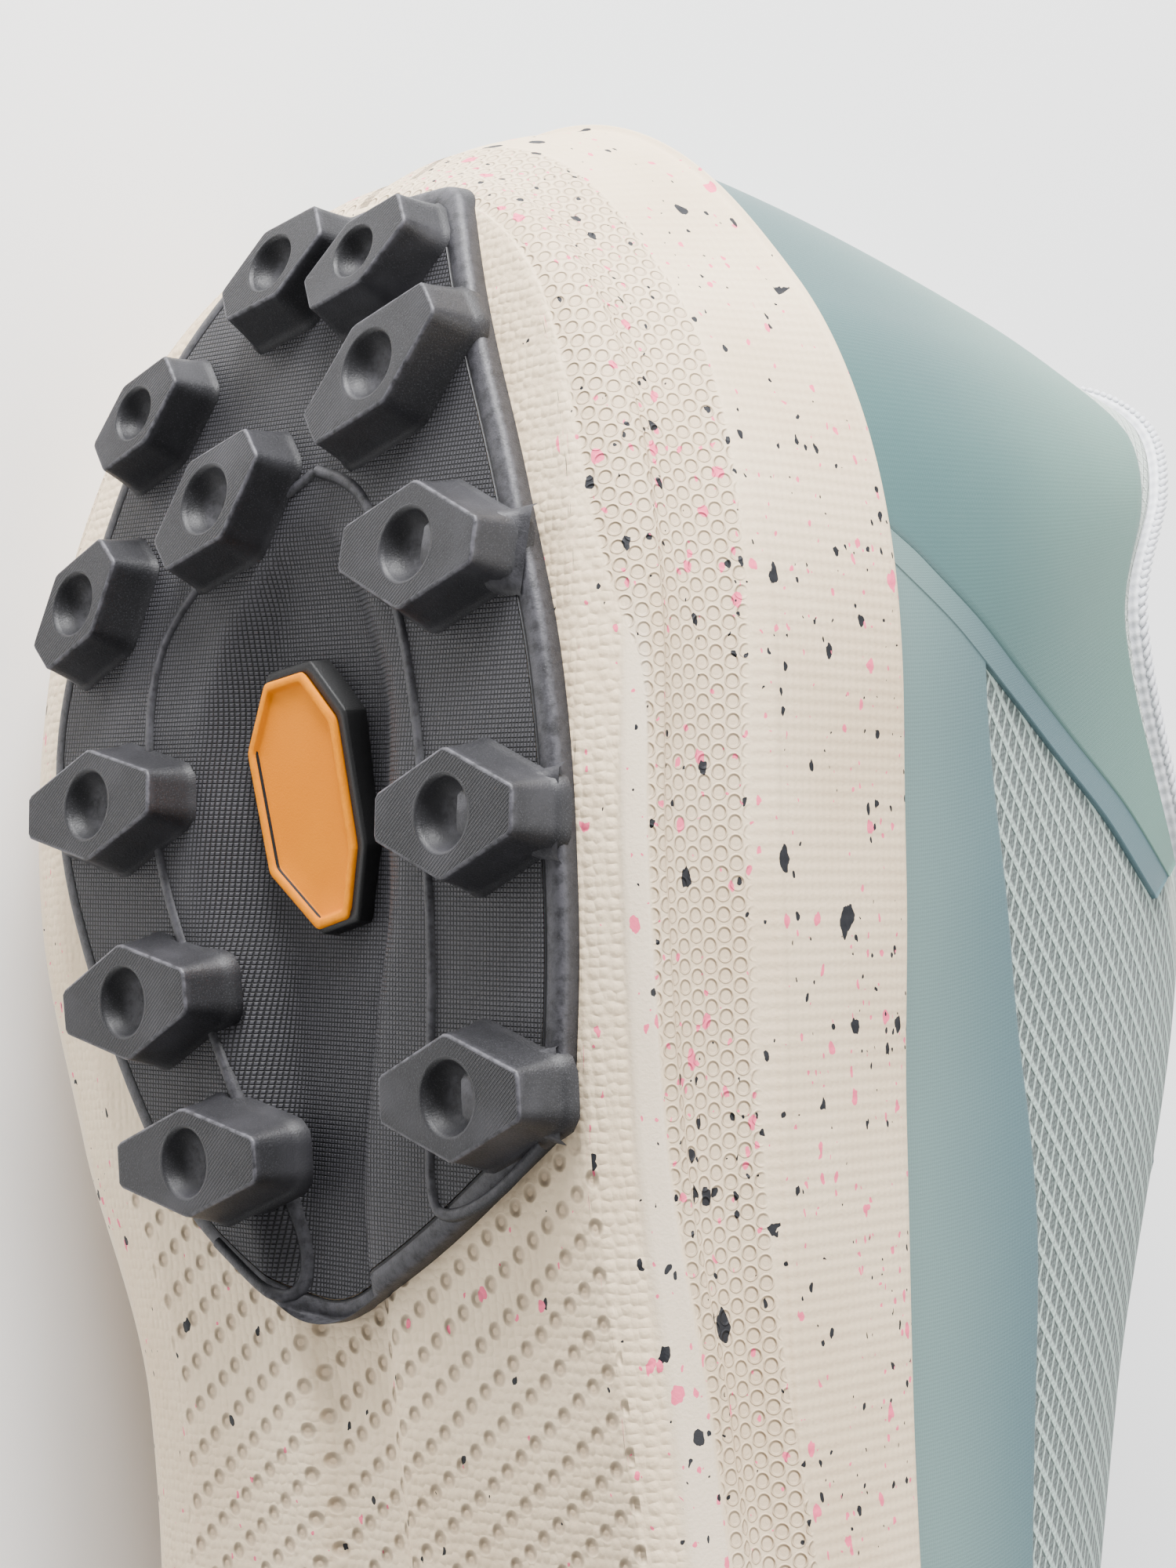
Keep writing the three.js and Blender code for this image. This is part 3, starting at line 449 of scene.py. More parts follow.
def attribute(tree, name, vector=False):
    node = put(tree, "ShaderNodeAttribute", attribute_name=name)
    return node.outputs["Vector" if vector else "Fac"]


def noise(tree, place, scale, detail=2.0, rough=0.5):
    node = put(tree, "ShaderNodeTexNoise", {"Vector": place, "Scale": scale, "Detail": detail,
                                            "Roughness": rough})
    return node.outputs["Fac"]


def split(tree, vector):
    return put(tree, "ShaderNodeSeparateXYZ", {0: vector}).outputs


def srgb(red, green, blue):
    """A colour as picked on screen, 0 to 255, in the linear values that shaders take."""
    levels = np.array([red, green, blue]) / 255
    linear = np.where(levels <= 0.04045, levels / 12.92, ((levels + 0.055) / 1.055) ** 2.4)
    return (*linear.tolist(), 1.0)


def new_group(name, numbers, results):
    """A group of nodes that takes a place and some numbers, and gives masks or heights."""
    group = bpy.data.node_groups.new(name, "ShaderNodeTree")
    sockets = [("Place", "INPUT", "Vector"), *((label, "INPUT", "Float") for label in numbers),
               *((label, "OUTPUT", "Float") for label in results)]
    for label, way, kind in sockets:
        group.interface.new_socket(label, in_out=way, socket_type="NodeSocket" + kind)
    return group, put(group, "NodeGroupInput").outputs, put(group, "NodeGroupOutput").inputs


def use_group(tree, group, place, *numbers):
    """A shared group on given coordinates, with its numbers in the order of its sockets."""
    return put(tree, "ShaderNodeGroup", dict(enumerate((place, *numbers))), node_tree=group).outputs


def new_finish(name, **constants):
    """A material with its Principled shader; constants are set on the shader's own sockets."""
    finish = bpy.data.materials.new(name)
    finish.use_nodes = True
    tree = finish.node_tree
    shader = tree.nodes["Principled BSDF"]
    for key, value in constants.items():
        shader.inputs[key.replace("_", " ")].default_value = value
    return finish, tree, shader


def connect(tree, shader, color, roughness, height):
    """Colour, a roughness or None, and a relief whose heights are in millimetres."""
    tree.links.new(color, shader.inputs["Base Color"])
    if roughness is not None:
        tree.links.new(roughness, shader.inputs["Roughness"])
    bump = put(tree, "ShaderNodeBump", {"Height": height, "Distance": 0.001, "Strength": 1.0})
    tree.links.new(bump.outputs[0], shader.inputs["Normal"])


# %% Shared groups: dots on a slanted grid, weave, studs, flecks


def dots_group():
    """Round dots on a grid whose two steps may slant."""
    steps = ["First step x", "First step y", "Second step x", "Second step y"]
    group, ins, outs = new_group("dot_field", [*steps, "Radius", "Softness"], ["Dot", "Rim"])
    x, y, _ = split(group, ins["Place"])
    ax, ay, bx, by = (ins[label] for label in steps)

    def cross(p, q, r, s):
        return minus(group, times(group, p, q), times(group, r, s))

    det = cross(ax, by, ay, bx)
    ways = (calc(group, "DIVIDE", way, det) for way in (cross(x, by, y, bx), cross(ax, y, ay, x)))
    fu, fv = (minus(group, calc(group, "FRACT", way), 0.5) for way in ways)
    dx, dy = (plus(group, times(group, fu, a), times(group, fv, b)) for a, b in ((ax, bx), (ay, by)))
    away = calc(group, "SQRT", plus(group, times(group, dx, dx), times(group, dy, dy)))
    inside = calc(group, "DIVIDE", minus(group, away, ins["Radius"]), ins["Softness"])
    group.links.new(ramp(group, inside, -1.0, 1.0, 1.0, 0.0), outs["Dot"])
    group.links.new(ramp(group, calc(group, "ABSOLUTE", inside), 0.0, 1.6, 1.0, 0.0), outs["Rim"])
    return group


def weave_group():
    """A fine weave of two crossing waves."""
    group, ins, outs = new_group("fine_weave", ["Pitch x", "Pitch y"], ["Height"])
    x, y, _ = split(group, ins["Place"])
    u, v = calc(group, "DIVIDE", x, ins["Pitch x"]), calc(group, "DIVIDE", y, ins["Pitch y"])
    waves = [calc(group, "SINE", times(group, calc(group, way, u, v), math.pi)) for way in ("ADD", "SUBTRACT")]
    group.links.new(plus(group, times(group, *waves, 0.5), 0.5), outs["Height"])
    return group


def studs_group():
    """Rows of tiny square studs with grooves between them."""
    group, ins, outs = new_group("square_studs", ["Pitch x", "Pitch y"], ["Stud"])
    x, y, _ = split(group, ins["Place"])
    waves = []
    for way, pitch in ((x, "Pitch x"), (y, "Pitch y")):
        turned = times(group, calc(group, "DIVIDE", way, ins[pitch]), math.pi)
        waves.append(calc(group, "ABSOLUTE", calc(group, "SINE", turned)))
    group.links.new(ramp(group, calc(group, "MINIMUM", *waves), 0.1, 0.75), outs["Stud"])
    return group


def flecks_group():
    """Random flecks of paint: few large ones, more small ones, a little stretched and ragged."""
    group, ins, outs = new_group("flecks", ["Size", "Amount"], ["Fleck"])
    ragged = put(group, "ShaderNodeTexNoise", {"Vector": ins["Place"], "Scale": 0.9, "Detail": 2.0})
    wander = vector_calc(group, "MULTIPLY", ragged.outputs["Color"], (1.3, 0.7, 1.3))
    place = vector_calc(group, "ADD", ins["Place"], wander)
    density = calc(group, "DIVIDE", 1.0, ins["Size"])
    cells = put(group, "ShaderNodeTexVoronoi", {"Vector": place, "Scale": density}, voronoi_dimensions="2D")
    chance, width, _ = split(group, cells.outputs["Color"])
    shown = calc(group, "LESS_THAN", chance, ins["Amount"])
    radius = plus(group, times(group, calc(group, "POWER", width, 3.0), 0.22), 0.07)
    group.links.new(times(group, shown, calc(group, "LESS_THAN", cells.outputs["Distance"], radius)), outs["Fleck"])
    return group


DOTS, WEAVE, STUDS, FLECKS = dots_group(), weave_group(), studs_group(), flecks_group()
print("shared groups:", DOTS.name, WEAVE.name, STUDS.name, FLECKS.name)

# %% [markdown]
# ## The foam of the midsole
#
# The foam is moulded, and its mould gives it several reliefs: round dots in a band along the side, a fine
# weave above it, pebbles below it and round dents under the arch. Modelled one by one they would need
# millions of faces, so the large forms are in the mesh and these small reliefs are heights in the
# material. Values kept on the mesh say where each of them lies. Pink and black paint is spattered over it.

# %% The foam's material
# The darkest cream is painted shade for the arch dents and the dots, and a slightly darker tone for the weave.
CREAM, CREAM_LOW, CREAM_SHADE_AND_TONE = srgb(244, 222, 190), srgb(232, 208, 174), srgb(178, 152, 122)
CREAM_RIBBON = srgb(236, 226, 212)
PINK, INK = srgb(252, 108, 140), srgb(30, 31, 36)
# Two steps of a field of dots in millimetres, then the radius and softness of a dot
SIDE_DOTS = (1.9, 0.0, 0.95, 1.55, 0.66, 0.13)
ARCH_DENTS = (1.4, 2.1, 3.0, -2.1, 0.62, 0.36)
FIRST_DENT = (105.3, -33.5, 0.0)
# Shift of the pattern, size of its cells in millimetres, share of cells with a fleck, paint
FLECK_LAYERS = ((0.0, 2.3, 0.20, PINK), (17.0, 2.7, 0.15, INK), (31.0, 1.2, 0.13, PINK),
                (53.0, 1.35, 0.13, INK), (71.0, 4.6, 0.07, INK), (89.0, 3.8, 0.07, PINK))


def foam_finish():
    finish, tree, shader = new_finish("moulded_foam", Roughness=0.62, Specular_IOR_Level=0.3,
                                      Subsurface_Weight=0.05, Subsurface_Radius=(0.002, 0.0015, 0.001))
    standing, wall = attribute(tree, "standing", True), attribute(tree, "wall", True)
    zone = {name: attribute(tree, name) for name in ("dots", "weave", "pebbles", "dents", "ribbon", "flecked")}
    dots = use_group(tree, DOTS, wall, *SIDE_DOTS)
    dents = use_group(tree, DOTS, vector_calc(tree, "SUBTRACT", standing, FIRST_DENT), *ARCH_DENTS)["Dot"]
    pebble = put(tree, "ShaderNodeTexVoronoi", {"Vector": standing, "Scale": 0.95, "Randomness": 0.4})
    pebbles = ramp(tree, pebble.outputs["Distance"], 0.15, 0.75, 1.0, 0.0)
    weave = use_group(tree, WEAVE, wall, 1.25, 1.1)["Height"]
    ring = minus(tree, times(tree, dots["Rim"], 0.14), times(tree, dots["Dot"], 0.16))
    height = times(tree, noise(tree, standing, 2.6, 3.0, 0.6), 0.05)
    for amount, relief, mask in ((1.0, ring, "dots"), (0.07, weave, "weave"), (0.11, pebbles, "pebbles"),
                                 (-0.85, dents, "dents")):
        height = plus(tree, height, times(tree, relief, amount, zone[mask]))
    color = blend(tree, ramp(tree, noise(tree, standing, 0.05, 3.0), 0.3, 0.75), CREAM, CREAM_LOW)
    # Painted shade: the darkest cream darkens the whole hollow band of dots, the rims and middles of the dots, and the
    # dents under the arch; over the weave it is a slightly darker tone.
    for amount, where, mask in ((0.16, 1.0, "dots"), (0.42, dots["Rim"], "dots"), (0.20, dots["Dot"], "dots"),
                                (0.55, dents, "dents"), (0.14, 1.0, "weave")):
        color = blend(tree, times(tree, zone[mask], amount, where), color, CREAM_SHADE_AND_TONE)
    color = blend(tree, times(tree, zone["ribbon"], 0.3), color, CREAM_RIBBON)
    stretched = vector_calc(tree, "MULTIPLY", wall, (0.75, 1.0, 1.0))
    crowd = times(tree, ramp(tree, noise(tree, wall, 0.045, 2.0), 0.40, 0.58, 0.45, 1.25), zone["flecked"])
    for shift, size, amount, paint in FLECK_LAYERS:
        place = vector_calc(tree, "ADD", stretched, (shift, shift, shift))
        fleck = use_group(tree, FLECKS, place, size, times(tree, crowd, amount))["Fleck"]
        color = blend(tree, fleck, color, paint)
    connect(tree, shader, color, ramp(tree, zone["ribbon"], 0.0, 1.0, 0.66, 0.5), height)
    return finish


FOAM = foam_finish()
print("material:", FOAM.name)

# %% [markdown]
# ## The midsole
#
# A thick block of foam: its side bulges, has a hollow band near the ground and a narrow moulded ribbon in
# it, and on the inner side it is scooped out at the arch. Boxes cut by hand would never flow like this, so
# it is lofted: a profile goes up the side at every turn round the shoe. The ribbon and the crease are soft
# ridges that are added to the profile.

# %% The midsole's side and underside
STATIONS = 250
ACROSS = 56
RIM_LINE = 12

turns = np.arange(2 * STATIONS) / (2 * STATIONS)
lines = np.concatenate([np.linspace(0, 7.4, 75), np.linspace(7.55, 12, 34)])


def side_point(turn, line):
    """A point on the midsole's side, before the ribbon and the crease are added."""
    foot = ground_z(inset(turn, tuck(turn))[..., 0])
    point = inset(turn, read(SIDE, "tuck", line) * tuck(turn) + pulled_in(turn, line))
    rise = read(SIDE, "rise", line) + read(SIDE, "climb", line) * read(PLAN, "climb", share(turn))
    point[..., 2] = foot + (rim_z(turn) - foot) * rise
    return point


def side_relief(turn, line):
    """How far the side stands proud: the ribbon, and the soft crease above the hollow band."""
    x = share(turn) * LENGTH
    outer = np.where(np.mod(turn, 1) <= 0.5, 1.0, 0.35)
    ribbon = ease(line, 1.2, 1.4) * (1 - ease(line, 2.1, 2.3)) * ease(x, 42, 66) * 0.45
    crease = np.exp(-(((line - 6.75) / 0.22) ** 2)) * 0.3 * ease(x, 30, 60) * outer
    hollow = -np.exp(-(((line - 4.8) / 1.1) ** 2)) * 0.5
    return ribbon + crease + hollow


def side_net():
    turn, line = np.meshgrid(turns, lines)
    point = side_point(turn, line)
    along = side_point(turn + 0.002, line) - side_point(turn - 0.002, line)
    up = side_point(turn, np.minimum(line + 0.1, 12)) - side_point(turn, np.maximum(line - 0.1, 0))
    out = unit(np.cross(along, up))
    return turn, line, point + out * side_relief(turn, line)[..., None]


turn_net, line_net, side = side_net()
step_round = np.linalg.norm(np.diff(plan_point(np.append(turns, 0.0)), axis=0), axis=1)
round_way = np.concatenate([[0], np.cumsum(step_round)[:-1]])
climbed = np.concatenate([np.zeros((1, side.shape[1])), np.cumsum(np.linalg.norm(np.diff(side, axis=0), axis=2), 0)])
crease_row = int(np.searchsorted(lines, 6.6))
side_up = climbed - climbed[crease_row]
side_wall = np.stack([np.broadcast_to(round_way, side_up.shape), side_up, np.zeros_like(side_up)], -1)


def trough(x, y):
    """The long hollow under the heel: its depth, on a middle line that drifts to the inner side."""
    rows = table("x middle half deep", (36, -3.0, 3.0, 0.0), (46, -3.0, 12.0, 2.2), (58, -3.2, 16.5, 3.4),
                 (72, -3.4, 16.5, 3.7), (86, -3.6, 13.0, 3.4), (100, -3.5, 10.0, 2.8), (116, -5.0, 8.0, 2.0))
    away = np.abs(y - read(rows, "middle", x)) / read(rows, "half", x)
    return read(rows, "deep", x) * (1 - ease(away, 0.45, 1.0)) * (x > 36)


def sheet_between(edge, height, across=ACROSS):
    """Points of a sheet across the shoe, and its faces; the edge ring is numbered from 0."""
    ways = np.arange(1, across) / across
    near, far = edge[1:STATIONS], edge[2 * STATIONS - 1 : STATIONS : -1]
    points = near[:, None] * (1 - ways[None, :, None]) + far[:, None] * ways[None, :, None]
    points[..., 2] = height(points[..., 0], points[..., 1])

    def index(k, j, own):
        return np.where(j == 0, k, np.where(j == across, 2 * STATIONS - k, own + (k - 1) * (across - 1) + j - 1))

    def faces(own):
        k, j = np.meshgrid(np.arange(1, STATIONS - 1), np.arange(across), indexing="ij")
        quads = np.stack([index(k, j, own), index(k + 1, j, own), index(k + 1, j + 1, own),
                          index(k, j + 1, own)], -1).reshape(-1, 4).tolist()
        j = np.arange(across)
        ends = np.stack([0 * j, index(1 + 0 * j, j, own), index(1 + 0 * j, j + 1, own)], -1).tolist()
        last = STATIONS - 1
        ends += np.stack([index(last + 0 * j, j, own), 0 * j + STATIONS, index(last + 0 * j, j + 1, own)], -1).tolist()
        return quads + ends

    return points.reshape(-1, 3), faces


# %% [markdown]
# The values below say where each moulded relief lies. The dots fill the hollow band, the pebbles lie between
# the rubber and the ribbon, the weave covers the side above the crease, and the dents lie under the arch.


# %% The midsole as one closed piece
def shelf_z(x):
    """Height of the shelf that the footbed lies on."""
    x = np.clip(x / LENGTH, 0, 1)
    return (read(PLAN, "rim_outer", x) + read(PLAN, "rim_inner", x)) / 2 * RIM_HEIGHT - LIP_DEPTH


def foam_zones(x, line, underside):
    """Where each relief lies: values from 0 to 1 along the shoe and up its side."""
    rows = table("x low high", (0, 0.1, 7.0), (20, 0.2, 6.6), (36, 0.4, 6.1), (46, 0.9, 5.9), (56, 1.9, 5.8),
                 (66, 2.25, 5.75), (90, 2.25, 5.75), (118, 2.3, 6.0), (140, 2.3, 7.0), (300, 2.3, 7.0))
    low, high = read(rows, "low", x), read(rows, "high", x)
    side = ~underside
    dots = ease(line, low, low + 0.12) * (1 - ease(line, high - 0.1, high + 0.1))
    return {
        "dots": side * dots,
        "weave": side * ease(line, high, high + 0.25) * (1 - ease(line, 10.6, 11.2)),
        "pebbles": np.where(underside, 1, (1 - ease(line, 1.2, 1.35)) * (1 - ease(line, low - 0.12, low))),
        "dents": np.where(underside, 1, 1 - ease(line, 0.0, 0.2)) * ease(x, 98, 100) * (1 - ease(x, 176, 178)),
        "ribbon": side * ease(line, 1.25, 1.35) * (1 - ease(line, 2.15, 2.25)) * ease(x, 44, 58),
        "flecked": np.where(underside, 0.2, 0.35 + 0.65 * ease(line, 0.6, 2.0)),
    }


def make_midsole():
    count = 2 * STATIONS
    lip = inset(turns, pulled_in(turns, RIM_LINE) + LIP)
    lip[:, 2] = rim_z(turns)
    shelf = lip.copy()
    shelf[:, 2] = shelf_z(shelf[:, 0])
    rings = [*side, lip, shelf]
    points = np.concatenate(rings)
    faces = net_faces(len(rings), count)
    under, under_faces = sheet_between(side[0], lambda x, y: ground_z(x) + trough(x, y))
    faces += [face[::-1] for face in under_faces(len(points))]
    points = np.concatenate([points, under])
    inner, inner_faces = sheet_between(shelf, lambda x, y: shelf_z(x), 8)
    own = len(points)
    edge_start = (len(rings) - 1) * count
    faces += [[i + edge_start if i < own and i < count + 1 else i for i in face] for face in inner_faces(own)]
    points = np.concatenate([points, inner])
    line = np.concatenate([line_net.ravel(), np.full(2 * count, float(RIM_LINE)), np.zeros(len(under)),
                           np.full(len(inner), float(RIM_LINE))])
    below = np.zeros(len(points), bool)
    below[len(rings) * count : len(rings) * count + len(under)] = True
    zones = foam_zones(points[:, 0], line, below)
    wall = np.concatenate([side_wall.reshape(-1, 3), points[side_wall.shape[0] * count :]])
    zones["wall"] = wall
    return make_piece("midsole_foam", points, faces, FOAM, ["midsole"], zones)


make_midsole()

# %% [markdown]
# ## Rubber
#
# The rubber is nearly black, with a fine grid of tiny squares moulded into it. It is greyer along the edges
# of the lugs, the badge's frame and the pad's rim, partly wear and partly painted highlight, and the
# bottoms of the round dimples are painted lighter as light. A value on the mesh says how near an edge is,
# so the greyer tone follows the real edges; below zero the same value paints the rubber near black as shade.
# The stud tops get a painted highlight and the grooves between them painted shade.


# %% The rubber's material
STUD_PITCH, LINE_PITCH, LINE_LENGTH, LINE_ANGLE = 0.46, 0.34, 40.0, math.radians(40)


def rubber_finish(name, base, wear_and_highlight, specular=0.35):
    """Studs where "plain" is 0, bare rubber where it is 1, fine lines where it is 2."""
    finish, tree, shader = new_finish(name, Roughness=0.5, Specular_IOR_Level=specular)
    standing, edge, plain = attribute(tree, "standing", True), attribute(tree, "edge"), attribute(tree, "plain")

    def turned(angle):
        return put(tree, "ShaderNodeVectorRotate", {"Vector": standing, "Angle": angle},
                   rotation_type="Z_AXIS").outputs[0]

    studs = use_group(tree, STUDS, turned(-YAW), STUD_PITCH, STUD_PITCH)["Stud"]
    lines = use_group(tree, STUDS, turned(LINE_ANGLE), LINE_PITCH, LINE_LENGTH)["Stud"]
    studded, lined = ramp(tree, plain, 0.0, 0.6, 1.0, 0.0), ramp(tree, plain, 1.4, 2.0)
    grain = noise(tree, standing, 5.0, 3.0, 0.6)
    height = plus(tree, times(tree, grain, 0.04), times(tree, studs, 0.11, studded), times(tree, lines, 0.05, lined))
    # Greyer towards edges: partly wear, partly painted highlight.
    wear_and_painted_light = calc(tree, "MULTIPLY", edge, ramp(tree, noise(tree, standing, 0.9, 4.0, 0.65), 0.25, 0.65), True)
    sandy = times(tree, ramp(tree, noise(tree, standing, 7.0, 3.0, 0.7), 0.5, 0.75), 0.5)
    dust = times(tree, ramp(tree, noise(tree, standing, 0.12, 3.0), 0.45, 0.8), 0.3)
    color = blend(tree, calc(tree, "MAXIMUM", calc(tree, "MAXIMUM", wear_and_painted_light, dust), sandy), base, wear_and_highlight)
    # Painted highlight on the tops of the studs, and painted shade in the grooves between them.
    color = blend(tree, times(tree, studs, studded, 0.5), color, wear_and_highlight)
    painted_groove_shade = times(tree, minus(tree, 1.0, studs), studded, 0.75)
    # Below zero the edge value paints the rubber near black as shade: the step round the badge, one flank of each
    # raised line and the groove inside the pad's rim.
    painted_shade = ramp(tree, edge, -1.0, -0.4, 1.0, 0.0)
    color = blend(tree, calc(tree, "MAXIMUM", painted_groove_shade, painted_shade), color, srgb(9, 9, 11))
    connect(tree, shader, color, ramp(tree, grain, 0.2, 0.8, 0.42, 0.58), height)
    return finish


RUBBER_FINISH = rubber_finish("black_rubber", srgb(26, 26, 29), srgb(84, 83, 89))
BADGE_FINISH = rubber_finish("orange_rubber", srgb(228, 130, 0), srgb(242, 146, 0), specular=0.05)
print("materials:", RUBBER_FINISH.name, BADGE_FINISH.name)

# %% [markdown]
# ## The rubber pads
#
# A pad is a thin skin of rubber glued under the foam, with a rounded rim and a raised line round its middle
# field. Its outline has corners of different roundness, so the skin is made of many small triangles
# between the outline and a grid of points inside it (a Delaunay triangulation), and then each point is
# put at the height of the sole. The rim and the lines are swept along their paths.

# %% Skin, rim and raised lines of a pad
HEEL_OUTLINE = np.array([
    (2.6, 0.0), (3.0, -16.8), (9.3, -20.6), (20.9, -26.0), (34.8, -32.8), (51.0, -39.1), (66.1, -42.0),
    (80.0, -42.0), (97.0, -40.0), (109.0, -21.0), (116.0, -5.9), (116.0, 0.0), (106.1, 16.8), (87.0, 29.0),
    (68.0, 36.1), (55.0, 38.6), (34.0, 33.6), (16.0, 26.0), (7.0, 17.6),
])

HOLLOW_FACE, PAD_RIM = 1.5, 2.3
# Rings of a pad's rim: how far in from the outline, how far over the face, how worn or painted with light or shade
# (above zero greyer for wear and painted highlight, below zero dark as painted shade)
RIM_RINGS = ((2.2, 0.0, -0.5), (2.05, 0.22, -0.7), (1.9, 0.06, 0.5), (1.1, 0.1, 0.45), (0.6, 0.2, 0.5),
             (0.25, 0.4, 0.7), (0.05, 0.75, 0.6), (0.0, 1.1, 0.3), (-0.02, 2.6, 0.0))


def face_z(x, y, heel):
    """Height of the rubber's face over the ground."""
    hollow = trough(x, y) * HOLLOW_FACE if heel else 0
    return ground_z(x) - FIT - RUBBER + hollow


def pad_net(outline, heel, spacing=1.25):
    """The skin of a pad with its smooth rim: points, faces, how worn or painted with light or shade, and how plain each
    point is.
    """
    outline = outline if signed_area(outline) > 0 else outline[::-1]
    normals = outline_normals(outline)
    inner = outline - normals * PAD_RIM
    low, high = inner.min(0), inner.max(0)
    grid = np.stack(np.meshgrid(np.arange(low[0], high[0], spacing), np.arange(low[1], high[1], spacing)), -1)
    grid = grid.reshape(-1, 2)
    grid = grid[inside(grid, inner - normals * 0.5)]
    count = len(inner)
    flat = [Vector(p) for p in np.concatenate([inner, grid])]
    edges = [(i, (i + 1) % count) for i in range(count)]
    verts, _, faces, *_ = delaunay_2d_cdt(flat, edges, [], 1, 1e-5)
    skin = np.array([(v.x, v.y) for v in verts])
    skin = np.column_stack([skin, face_z(skin[:, 0], skin[:, 1], heel)])
    points, edge, plain = [skin], [np.zeros(len(skin))], [np.zeros(len(skin))]
    for depth, lift, wear_and_painted_light in RIM_RINGS:
        row = outline - normals * depth
        hollow = heel and lift < 0.5
        points.append(at_height(row, face_z(*row.T, hollow) + lift))
        edge.append(np.full(count, wear_and_painted_light))
        plain.append(np.ones(count))
    all_faces = [tuple(reversed(face)) for face in faces] + net_faces(len(points) - 1, count, True, len(skin))
    return np.concatenate(points), all_faces, np.concatenate(edge), np.concatenate(plain)


def signed_area(outline):
    x, y = outline.T
    return float(np.sum(x * np.roll(y, -1) - np.roll(x, -1) * y)) / 2


def inside(points, outline):
    """True for the points inside a closed outline, by counting how often a ray crosses it."""
    x, y = points.T
    hit = np.zeros(len(points), bool)
    for (x0, y0), (x1, y1) in zip(outline, np.roll(outline, -1, 0)):
        crosses = (y0 > y) != (y1 > y)
        at = x0 + (y - y0) * (x1 - x0) / (y1 - y0 if y1 != y0 else 1e-9)
        hit ^= crosses & (x < at)
    return hit


def raised_line(path, width=1.1, height=0.4):
    """A low rounded line on the face of the heel pad."""
    along = unit(np.gradient(path, axis=0))
    across = np.stack([along[:, 1], -along[:, 0]], -1)
    profile = [(-0.62, -0.4), (-0.5, 0.35), (-0.28, 0.95), (0.0, 1.0), (0.28, 0.95), (0.5, 0.35), (0.62, -0.4)]
    rows = [(path + across * width * wide, high) for wide, high in profile]
    net = np.stack([at_height(row, face_z(*row.T, True) - height * high) for row, high in rows])
    # One flank of the line is painted dark as shade, its crown greyer as painted highlight.
    wear_and_painted_light = np.repeat([-0.8, -0.6, 0.3, 0.5, 0.6, 0.4, 0.0], len(path))
    return net, net_faces(len(profile), len(path), False), wear_and_painted_light, 1.0


# %% [markdown]
# ## Lugs
#
# Each lug is a six-sided block, long across the shoe, with a round dimple in its face. It could be cut from a
# box, but its soft edges matter more than its faces: rings of points go from the bottom of the dimple
# outwards, over the rounded edge and down the slanting side. Three lugs on the outer side have a ramp that
# runs out to the rim.


# %% One lug, and its place on a pad
LUG_END, RAMP_HALF = 4.4, 3.6


def stacked(rings):
    """The net of rings given as (flat ring, height, how worn or painted with light or shade, how plain)."""
    flats, heights, wear_and_painted_light, plain = zip(*rings)
    net = np.stack([at_height(flat, height) for flat, height in zip(flats, heights)])
    count = len(flats[0])
    return net, net_faces(len(rings), count), np.repeat(wear_and_painted_light, count), np.repeat(plain, count)


def lug_net(length, width, around=72):
    """Rings of a lug from its dimple to its root, in its own frame: x across it, y along it, z out."""
    l, w, e = length / 2, width / 2, LUG_END / 2
    outline = even(round_corners([(w, 0), (e, l), (-e, l), (-w, 0), (-e, -l), (e, -l)], 0.45), around)
    normals = outline_normals(outline)
    angle = np.arctan2(outline[:, 1], outline[:, 0])
    circle = np.stack([np.cos(angle), np.sin(angle)], -1) * min(DIMPLE, w * 0.62)
    rim = outline - normals * 0.9
    rings = []
    # The bottom of the dimple is painted lighter, as the light that falls into it.
    for radius in (0.02, 0.3, 0.55, 0.75, 0.9, 0.98, 1.04, 1.1):
        depth = 2.5 * math.sqrt(max(1 - radius**2, 0)) + (0.04 if radius < 1.05 else 0)
        rings.append((circle * radius, LUG_HEIGHT - depth, 0.5 if radius < 0.6 else 0.0, 1.0))
    for way in (0.06, 0.3, 0.6, 0.85, 1.0):
        rings.append((circle * 1.1 * (1 - way) + rim * way, LUG_HEIGHT, 0.0, 2.0))
    # The rounded edge is painted greyer: partly wear, partly painted highlight.
    for depth, drop, wear_and_painted_light in ((0.4, 0.0, 0.0), (0.22, 0.02, 0.9), (0.1, 0.09, 1.0), (0.02, 0.2, 0.9), (0, 0.36, 0.3)):
        rings.append((outline - normals * depth, LUG_HEIGHT - drop, wear_and_painted_light, 1.0 if drop else 2.0))
    for drop, grow in ((1.0, 0.1), (2.0, 0.32), (3.2, 0.6), (4.2, 0.86), (4.75, 1.05), (5.05, 1.3), (6.2, 1.5)):
        rings.append((outline + normals * grow, LUG_HEIGHT - drop, 0.0, 1.0))
    return stacked(rings)


def place_on_pad(points, x, y, turn):
    """From a lug's own frame to the standing shoe."""
    slope = math.atan(float(ground_z(x + 4.0) - ground_z(x - 4.0)) / 8)
    turn = -math.radians(turn)
    spin = np.array([[math.cos(turn), -math.sin(turn), 0], [math.sin(turn), math.cos(turn), 0], [0, 0, 1]])
    over = np.diag([1.0, -1.0, -1.0])
    tip = np.array([[math.cos(-slope), 0, math.sin(-slope)], [0, 1, 0], [-math.sin(-slope), 0, math.cos(-slope)]])
    return points @ (tip @ over @ spin).T + np.array([x, y, float(ground_z(x)) - FIT - RUBBER])


